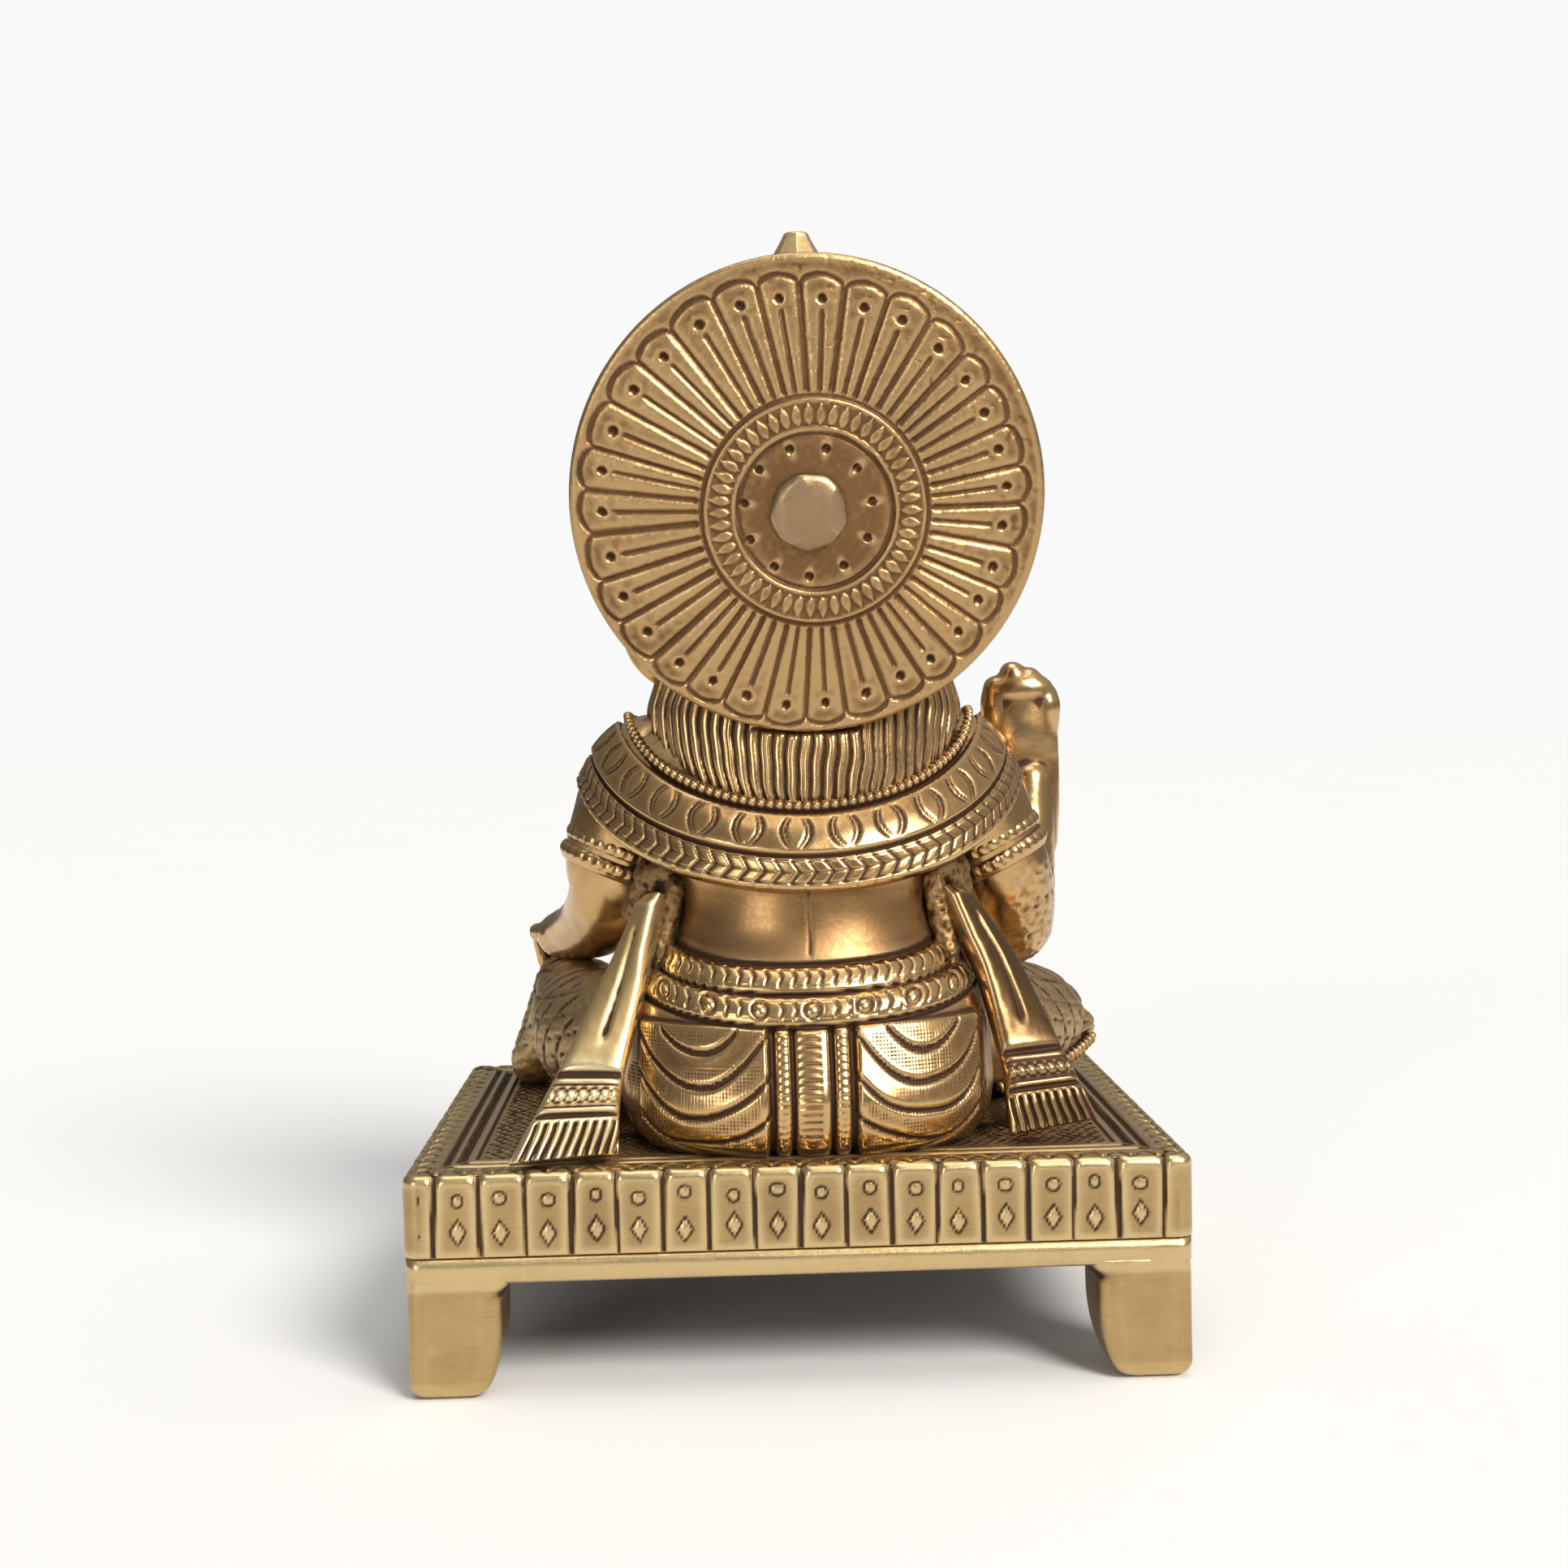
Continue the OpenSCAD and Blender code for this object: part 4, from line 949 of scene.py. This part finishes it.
# sash tails: flat slabs that hang from the armpits to the deck, with a fringe
tails = {"thick": 4.0, "long": 52, "bandAt": (0.725, 0.845),
         "leftIn": [[23.6, 22.6, 41.0], [26.0, 26, 31.5], [27.0, 29, 25.5], [30.6, 37.2, 11], [31.4, 40.6, 1.0]],
         "leftOut": [[26.4, 19.6, 40.0], [30.4, 21.6, 32.2], [33.8, 25, 26.0], [42.0, 37.0, 11.2], [48.4, 45.0, 0.9]],
         "rightIn": [[-23.4, 22, 41.0], [-26.6, 24.5, 33], [-29.4, 27, 25.5], [-31.8, 31.2, 12], [-32.4, 35.0, 1.2]],
         "rightOut": [[-26.6, 18.4, 40.0], [-31.4, 18.6, 34], [-36.2, 20.5, 26.5], [-42.8, 28.0, 12.4], [-47.4, 30.8, 2.6]]}


def tailShell(side):
    # a ribbon between two edge curves: u across from -1 to 1, v down from 0 to 1; the outer face
    # carries a long groove, a beaded cross band and a combed fringe, the edges are rounded over
    inner, outer = spline(tails[side + "In"], 150), spline(tails[side + "Out"], 150)
    centre, across = (inner + outer) / 2, (outer - inner) / 2
    half = np.linalg.norm(across, axis=1)
    down = np.gradient(centre, axis=0)
    normal = np.cross(across, down)
    normal /= np.linalg.norm(normal, axis=1)[:, None]
    normal *= np.sign(normal[:, 1:2])
    long = tails["long"]
    v = np.linspace(0, 1, 150)[:, None]
    u = np.concatenate([np.linspace(-1, 1, 120), np.linspace(1, -1, 26)[1:-1]])[None, :]
    face = np.repeat([1.0, -1.0], [120, 24])[None, :]        # outer face, inner face
    m = u * half[:, None]
    edge = np.clip(1 - np.abs(u) ** 7, 0, 1) ** 0.5
    b0, b1 = tails["bandAt"]
    body = ramp(-b0 + 0.005, -b0 + 0.02, -v)
    h = -0.55 * cut(m + 0.1 * half[:, None], 1.25) * body * ramp(0.12, 0.2, v) * ramp(-0.66, -0.62, -v)
    h = h + 0.35 * (1 - (m / half[:, None]) ** 2) * body
    h = h - 0.7 * (cut((v - b0) * long, 1.0) + cut((v - b1) * long, 1.0))
    h = h + 0.3 * ramp(b0, b0 + 0.01, v) * ramp(-b1, -b1 + 0.01, -v)
    middle = (v - (b0 + b1) / 2) * long
    h = h + 0.55 * dome(np.hypot(saw(m / 1.75) * 1.75, middle) / 0.95) - 0.25 * cut(np.abs(middle) - 1.75, 0.5)
    comb = ramp(b1 + 0.02, b1 + 0.03, v)
    strand = m / (0.55 + 0.5 * v) / 1.55 + 0.12 * np.sin(v * 30)
    h = h - comb * (0.85 * cut(saw(strand) * 1.5, 0.6) - 0.15)
    h = h + 0.04 * grain(centre[:, None] + u[..., None] * across[:, None], 1.6)
    off = face * (tails["thick"] / 2) * (0.25 + 0.75 * edge) + np.where(face > 0, h * edge, 0)
    thin = np.interp(v, [0, 0.06, 0.9, 1], [0.5, 1, 1, 0.75])
    p = centre[:, None] + u[..., None] * across[:, None] * 1.02 + (off * thin)[..., None] * normal[:, None]
    p[..., 2] = np.maximum(p[..., 2], 0.03)
    return loft(p)


# the left tail takes bright polished brass, whose brightness also paints the reflection it shows; the right tail takes
# dark brown brass
for side, finish in (("left", polishedAndSheenBrass), ("right", brownBrass)):
    addToFigure(side + "SashTail", tailShell(side), side + "_sash_tail", finish)

# braze: grainy filler runs left rough in the armpits and down beside the tails
braze = {"run": [[23.6, 19.6, 44.4, 2.5], [26.4, 14.4, 41, 2.8], [28.5, 9.5, 36.5, 2.6]],
         "seam": [[21.8, 20.8, 42, 1.9], [23.2, 21.4, 35, 2.1], [25.2, 23.6, 27, 1.7], [28.0, 29.0, 17, 0.7]],
         "lumps": 0.42, "voxel": 0.42}


def brazeGrain(points):
    # lumps of three sizes added together
    return braze["lumps"] * (grain(points, 2.6) * 0.7 + grain(points + 3, 1.3) * 0.45 + grain(points + 7, 0.7) * 0.4)


for side, name in ((1, "left"), (-1, "right")):
    run, seam = ([[side * x, y, z, r] for x, y, z, r in braze[key]] for key in ("run", "seam"))
    blob = cast([tube(run, 50, 30), tube(seam, 50, 20), ball([side * 25.6, 15.0, 43.4], [3.4, 3.6, 2.8])],
                braze["voxel"], 1, name + "Braze")
    castPiece(name + "ArmpitBraze", blob, brazeGrain, [], name + "_armpit_braze", brazeAndShadeMetal)
print("limbs ready")

# the stool: a deck with tiled sides and a chased carpet, over a plain rail and four bent legs
stool = {"wide": 125.0, "deep": 95.0, "corner": 2.5, "top": deckZ, "railLow": 18.6, "under": 30.0, "apron": 6.0,
         "ledge": 0.16, "pitch": 7.2, "groove": 0.75, "carpetIn": 10.6, "carpetLow": 35.72, "scale": (1.9, 1.55, 0.98),
         "footWide": 10.5, "legWide": 15.4, "bend": 13.0, "footRounds": (2.8, 1.6)}


def planRing(inset, cols):
    # a rounded rectangle drawn inset from the stool's edge, with the same share of each side and corner
    # at every inset, so that columns stay lined up; gives x, y and which side or corner each column is on
    hx, hy, rc = stool["wide"] / 2, stool["deep"] / 2, stool["corner"]
    nx, ny, nc = int(cols * 0.275), int(cols * 0.205), int(cols * 0.02)
    counts = (nx, nc, ny, nc, nx, nc, ny, nc)
    side = np.repeat([0, 4, 1, 5, 2, 6, 3, 7], counts)       # sides 0 to 3, corners 4 to 7
    share = np.concatenate([np.linspace(-1, 1, k, endpoint=False) + 1 / k for k in counts])
    r = np.maximum(rc - inset, 0.35)
    sx, sy = hx - inset - r, hy - inset - r
    turn = ((0, -1, 1, 0), (1, 0, 0, 1), (0, 1, -1, 0), (-1, 0, 0, -1))    # each side's outward x, y and along x, y
    x, y = np.zeros((2, len(inset), len(side)))
    for k in range(4):
        ox, oy, ax, ay = turn[k]
        on = side == k
        reach = sx if ax else sy
        x[:, on] = ox * (sx + r) + ax * reach * share[on]
        y[:, on] = oy * (sy + r) + ay * reach * share[on]
        cx, cy = ox + ax, oy + ay
        on = side == 4 + k
        f = (share[on] + 1) * pi / 4 + np.arctan2(oy, ox)
        x[:, on] = cx * sx + r * np.cos(f)
        y[:, on] = cy * sy + r * np.sin(f)
    return x, y, side


def stoolShell():
    # one profile carried round the plan: from under the deck, down inside the apron, round the rail and
    # its ledge, up the tiled side, over the bevel and in across the border; carving stands off the profile
    k = stool
    # columns of the profile: inset from the edge, height, and how much carving it takes (1 side, 2 top)
    under, apron, rail, ledge = k["under"], k["apron"], k["railLow"], k["ledge"]
    prof = [[40.0, under, 0], [apron, under, 0], [apron, rail + 0.4, 0], [apron - 0.4, rail, 0], [ledge + 0.5, rail, 0],
            [ledge, rail + 0.5, 0], [ledge, 21.0, 0], [ledge, 22.52, 0], [ledge + 0.9, 22.6, 0], [ledge + 0.9, 22.82, 0],
            [0.16, 22.88, 0], [0.05, 23.0, 1]]
    prof += [[0.0, z, 1] for z in np.linspace(23.3, 34.6, 34)]
    prof += [[0.06, 34.95, 1], [0.25, 35.35, 1], [0.6, 35.7, 1.5], [1.05, 35.92, 2]]
    prof += [[d, k["top"], 2] for d in np.linspace(1.3, k["carpetIn"], 30)]
    prof += [[k["carpetIn"] + 0.5, 35.6, 0], [k["carpetIn"] + 1.2, 35.2, 0], [40.0, 35.2, 0]]
    prof = np.array(prof)
    inset, z, kind = prof[:, 0:1], prof[:, 1:2], prof[:, 2:3]
    x, y, side = planRing(inset, 1150)
    straight = side < 4
    place = np.where(side % 2 == 0, x, y)
    z = z + 0 * x
    jitter = np.sin(np.round(place / k["pitch"]) * 2.3 + side)
    tile = (place + 0.05 * jitter + 0.035 * jitter * (z - 29)) / k["pitch"]
    fromLine = saw(tile) * k["pitch"]                        # distance to the nearest tile line
    mid = (tile - np.floor(tile) - 0.5) * k["pitch"] + 0.35 * np.sin(np.floor(tile) * 1.9)
    upper = ramp(33.2, k["top"], z)
    wide = k["groove"] * (1 + 1.0 * upper)
    sideOn = (kind >= 1) & (kind <= 1.5) & straight
    line = cut(fromLine, wide * (0.9 + 0.35 * np.sin(np.round(tile) * 3.7 + side)))
    h = sideOn * (-0.75 * line - 0.10 * upper * np.exp(-fromLine / 1.4))
    level = 32.0 + 0.4 * np.sin(np.floor(tile) * 2.9 + side)
    bead = np.hypot(mid, z - level)
    button = 0.16 * np.exp(-(bead / 0.7) ** 2) - 0.10 * np.exp(-(bead / 0.28) ** 2)
    h = h + sideOn * (button - 0.18 * cut(bead - 1.0, 0.45))
    gem = np.abs(mid) / 1.25 + np.abs(z - 26.7 - 0.3 * np.sin(np.floor(tile) * 2.1)) / 2.0
    h = h + sideOn * (-0.13 * cut((gem - 1) * 1.2, 0.45) + 0.2 * ramp(-0.98, -0.6, -gem))
    h = h + (kind >= 1) * (kind < 2) * 0.04 * grain(np.stack([x, y, z], -1), 4.0)
    # the top's border: a zigzag, two long grooves, scallops along the edge
    top = (kind == 2) & straight
    zig = (inset - (3.0 + 3.4 * (2 * saw(place / 4.4) - 0.5))) * 0.55
    g = -0.8 * cut(zig, 0.62) * ramp(1.0, 1.3, inset) * ramp(-5.2, -4.6, -inset)
    g = g - 0.75 * (cut(inset - 6.2, 1.1) + cut(inset - 8.6, 1.1)) - 0.25 * cut(inset - 1.6, 0.5)
    g = g * top + (kind == 2) * 0.04 * grain(np.stack([x, y, z], -1), 2.2)
    g = g - 0.35 * cut(fromLine, 1.5) * ramp(-2.4, -0.6, -inset) * top
    ox = np.select([side == 1, side == 3], [1.0, -1.0], 0.0)
    oy = np.select([side == 0, side == 2], [-1.0, 1.0], 0.0)
    p = np.stack([x + ox * h, y + oy * h, z + g], -1)
    p[..., 2] = np.where(kind > 0, np.minimum(p[..., 2], k["top"]), p[..., 2])
    return loft(p)


def legShell(sx, sy):
    # a post whose section is a rounded square kept at the stool's corner; its width bends from the
    # foot's to the leg's on a quarter ellipse and flares into the rail
    k = stool
    z = np.concatenate([np.linspace(0.0, 3.0, 14), np.linspace(3.4, 19.4, 44)])[:, None]
    a = fullTurn(160)
    bent = dome(1 - z / k["bend"]) * (z < k["bend"]) + (z >= k["bend"])
    wide = k["footWide"] + (k["legWide"] - k["footWide"]) * bent + 2.4 * np.clip((z - 16.2) / 2.9, 0, 1.1) ** 2
    outer, inner = (r - np.sqrt(np.clip(r ** 2 - np.clip(r - z, 0, r) ** 2, 0, None)) for r in k["footRounds"])
    hi, lo = -k["ledge"] - outer, -wide + inner
    x, y = ((hi + lo) / 2 + (hi - lo) / 2 * np.sign(c) * np.abs(c) ** (2 / 7.5) for c in (np.cos(a), np.sin(a)))
    p = np.stack([sx * (k["wide"] / 2 + x), sy * (k["deep"] / 2 + y), z + 0 * a], -1)
    bump = 0.06 * grain(p, 6.0) + 0.03 * grain(p, 1.6)
    p[..., :2] += bump[..., None] * np.array([sx, sy]) * -0.5
    return loft(p)


def carpetShell():
    # the sunk field: staggered round scales and pebbles in relief, rings of the plan closing at the middle
    k = stool
    start = k["carpetIn"]
    inset = np.concatenate([[start + 0.2, start + 0.25], np.linspace(start + 0.3, 47.3, 96)])[:, None]
    x, y, _ = planRing(inset, 760)
    z = np.concatenate([[34.6, 35.3], np.full(96, k["carpetLow"])])[:, None] + 0 * x
    acrossX, acrossY, rounds = k["scale"]
    row = y / acrossY
    col = x / acrossX + 0.5 * (np.round(row) % 2)
    scale = np.hypot(offWhole(col) * acrossX, offWhole(row) * acrossY)
    p = np.stack([x, y, z], -1)
    h = 0.42 * dome(scale / rounds) - 0.2 + 0.12 * grain(p, 1.4) + 0.10 * grain(p, 0.7)
    p[..., 2] = np.minimum(z + h * (inset > start + 0.9), k["top"])
    return loft(p)


feet = [legShell(sx, sy) for sx in (-1, 1) for sy in (-1, 1)]
addPiece("stoolBody", stoolShell(), "chowki", stoolBrass)
addPiece("stoolLegs", joined(feet), "chowki", stoolBrass)
addPiece("deckCarpet", carpetShell(), "chowki", carpetBrass)
for node in ("fixing_studs", "fixing_washers", "fixing_nuts"):
    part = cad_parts[node]
    part.data.materials.clear()
    part.data.materials.append(fixingBrass)
print("stool ready")

# patina and painted shade: how hollow or proud each point is from its own surface, and painted shade from the metal
# close in front of it
patinaAndShade = {"rounds": 10, "broadRounds": 60, "hollowAt": 0.10, "broadAt": 0.30, "proudAt": 0.11,
          "cell": 1.0, "boxLow": (-75.0, -60.0, -10.0), "boxCells": (150, 120, 215),
          "ahead": 1.7, "nearShadeLow": 0.9, "nearShadeHigh": 2.6}


def smoothed(points, edges, rounds):
    # each round moves a point to the mean of its neighbours
    a, b = edges.T
    n = len(points)
    count = np.maximum(np.bincount(a, minlength=n) + np.bincount(b, minlength=n), 1)[:, None]
    for _ in range(rounds):
        total = np.stack([np.bincount(a, points[b, k], n) + np.bincount(b, points[a, k], n) for k in range(3)], -1)
        points = total / count
    return points


def paintPatinaAndShade():
    # painted shade: the area of metal in each 1 mm cell, blurred; it is read a little in front of each
    # point, where only a crevice has metal close by, and darkens that point as shade would. A point is hollow, and
    # takes patina, as far as its neighbours' mean lies outside it, and is rubbed as far as the mean lies inside
    cells = np.zeros(patinaAndShade["boxCells"])
    last = np.array(cells.shape) - 1
    cellOf = lambda p: tuple(np.clip(((p - patinaAndShade["boxLow"]) / patinaAndShade["cell"]).astype(int), 0, last).T)
    for piece in pieces:
        faces = piece.data.polygons
        np.add.at(cells, cellOf(readFrom(faces, "center", 3) / mm), readFrom(faces, "area") / mm ** 2)
    for _ in range(2):
        for axis in range(3):
            cells = (np.roll(cells, 1, axis) + cells + np.roll(cells, -1, axis)) / 3
    for piece in pieces:
        mesh = piece.data
        points, normals = pointsOf(mesh), normalsAt(mesh)
        edges = readFrom(mesh.edges, "vertices", 2, np.int32)
        near = smoothed(points, edges, patinaAndShade["rounds"])
        bump = ((near - points) * normals).sum(1)
        broad = ((smoothed(near, edges, patinaAndShade["broadRounds"]) - points) * normals).sum(1)
        # painted shade: darker where other metal lies close in front of the point
        nearShade = ramp(patinaAndShade["nearShadeLow"], patinaAndShade["nearShadeHigh"], cells[cellOf(points + normals * patinaAndShade["ahead"])] * 3)
        hollow = np.clip(bump / patinaAndShade["hollowAt"], 0, 1) + 0.75 * np.clip(broad / patinaAndShade["broadAt"], 0, 1) + 0.85 * nearShade
        rubbed = np.clip(-bump / patinaAndShade["proudAt"], 0, 1) * (1 - 0.7 * nearShade)
        for key, values in (("hollow", np.clip(hollow, 0, 1)), ("rubbed", rubbed)):
            layer = mesh.attributes.new(key, "FLOAT", "POINT")
            layer.data.foreach_set("value", values.astype(np.float32))
        print("patinaAndShade", piece.name, "hollow", round(float(hollow.mean()), 3), "nearShade", round(float(nearShade.mean()), 3))


paintPatinaAndShade()

# the view from behind, a plain pale floor and soft studio light
view = {"place": (11.712, 362.776, 111.086), "yaw": -1.9, "pitch": 2.72, "roll": -1.17,
        "lens": 2500 / 1932 * 36, "sensor": 36}


def stand(holder, right, up, back, place):
    # the columns of a camera's or lamp's matrix are its own X, Y and Z axes and its place, in metres
    bpy.context.scene.collection.objects.link(holder)
    matrix = np.eye(4)
    matrix[:3] = np.stack([right, up, back, place], -1)
    holder.matrix_world = mathutils.Matrix([list(row) for row in matrix])


def setCamera():
    # forward turns by yaw and pitch from -Y; the view's up is square to it, then rolled
    yaw, pitch, roll = (np.radians(view[k]) for k in ("yaw", "pitch", "roll"))
    forward = np.array([np.sin(yaw) * np.cos(pitch), -np.cos(yaw) * np.cos(pitch), -np.sin(pitch)])
    right = np.array([-np.cos(yaw), -np.sin(yaw), 0.0])
    up = np.cross(right, forward)
    data = bpy.data.cameras.new("backView")
    data.lens, data.sensor_width, data.sensor_fit = view["lens"], view["sensor"], "HORIZONTAL"
    data.clip_start, data.clip_end = 0.01, 20
    camera = bpy.data.objects.new("backView", data)
    stand(camera, np.cos(roll) * right + np.sin(roll) * up, -np.sin(roll) * right + np.cos(roll) * up, -forward,
          np.array(view["place"]) * mm)
    bpy.context.scene.camera = camera


setCamera()
# wide soft lamps far away: where they shine from, how wide they look in degrees and how strong they are
lamps = {"keyLight": {"from": (-0.42, 0.62, 0.55), "wide": 24, "power": 3.2, "tint": (1.0, 0.97, 0.92)},
         "fillLight": {"from": (0.50, 0.85, 0.24), "wide": 26, "power": 0.55, "tint": (0.96, 0.98, 1.0)},
         "topLight": {"from": (0.0, 0.10, 0.85), "wide": 40, "power": 0.7, "tint": (1.0, 0.99, 0.97)}}
for name, lamp in lamps.items():
    light = bpy.data.lights.new(name, "SUN")
    light.angle, light.energy, light.color = np.radians(lamp["wide"]), lamp["power"], lamp["tint"]
    back = np.array(lamp["from"]) / np.linalg.norm(lamp["from"])
    right = np.cross([0, 1.0, 0], back)
    right /= np.linalg.norm(right)
    stand(bpy.data.objects.new(name, light), right, np.cross(back, right), back, lamp["from"])

# the surroundings that the brass mirrors: dark low down and to one side; the camera itself sees plain pale grey
room = {"low": (0.16, 0.15, 0.145, 1), "level": (0.20, 0.19, 0.185, 1), "wall": (0.34, 0.335, 0.33, 1),
        "ceiling": (0.70, 0.70, 0.70, 1), "darkSide": (0.09, 0.085, 0.08, 1), "seen": (0.95, 0.95, 0.95, 1),
        "floor": (0.81, 0.81, 0.807, 1), "floorCloud": (0.79, 0.79, 0.79, 1), "floorHalf": 3.0, "floorSteps": 61}
world = bpy.data.worlds.new("studio")
bpy.context.scene.world = world
sky = Shader(world)
looking = sky.node("ShaderNodeTexCoord", {}, {}, "Generated")
sideways, height = (sky.node("ShaderNodeSeparateXYZ", {}, {"Vector": looking}, axis) for axis in ("X", "Z"))
stops = [(0.0, room["low"]), (0.48, room["level"]), (0.60, room["wall"]), (1.0, room["ceiling"])]
tone = sky.node("ShaderNodeValToRGB", {"stops": stops}, {"Fac": height * 0.5 + 0.5}, "Color")
tone = sky.blend((sideways * 0.35 + 0.35).clamp(), tone, room["darkSide"])
tone = sky.blend(sky.node("ShaderNodeLightPath", {}, {}, "Is Camera Ray"), tone, room["seen"])
backdrop = sky.node("ShaderNodeBackground", {}, {"Color": tone, "Strength": 1.0})
sky.node("ShaderNodeOutputWorld", {}, {"Surface": backdrop})
bpy.context.scene.view_settings.view_transform = "Standard"

pale = Shader(bpy.data.materials.new("paleFloor"))
spot = pale.node("ShaderNodeTexCoord", {}, {}, "Object")
soft = pale.node("ShaderNodeTexNoise", {}, {"Vector": spot, "Scale": 9.0, "Detail": 2.0}, "Fac")
tone = pale.blend(soft * 0.5, room["floor"], room["floorCloud"])
finish = pale.node("ShaderNodeBsdfPrincipled", {}, {"Base Color": tone, "Roughness": 0.9})
pale.node("ShaderNodeOutputMaterial", {}, {"Surface": finish})
steps = room["floorSteps"]
floorX = np.linspace(-room["floorHalf"], room["floorHalf"], steps)[:, None] / mm
floorGrid = np.stack([floorX + 0 * floorX.T, floorX.T + 0 * floorX, 0 * floorX * floorX.T - 0.05], -1)   # just under the feet
floorQuads = gridFaces(steps, steps, False)
floorMesh = meshFrom({"points": floorGrid.reshape(-1, 3), "quads": floorQuads, "tris": np.zeros((0, 3), int)}, "floor")
floor = bpy.data.objects.new("floor", floorMesh)
floorMesh.materials.append(pale.owner)
bpy.context.scene.collection.objects.link(floor)
print("studio ready")
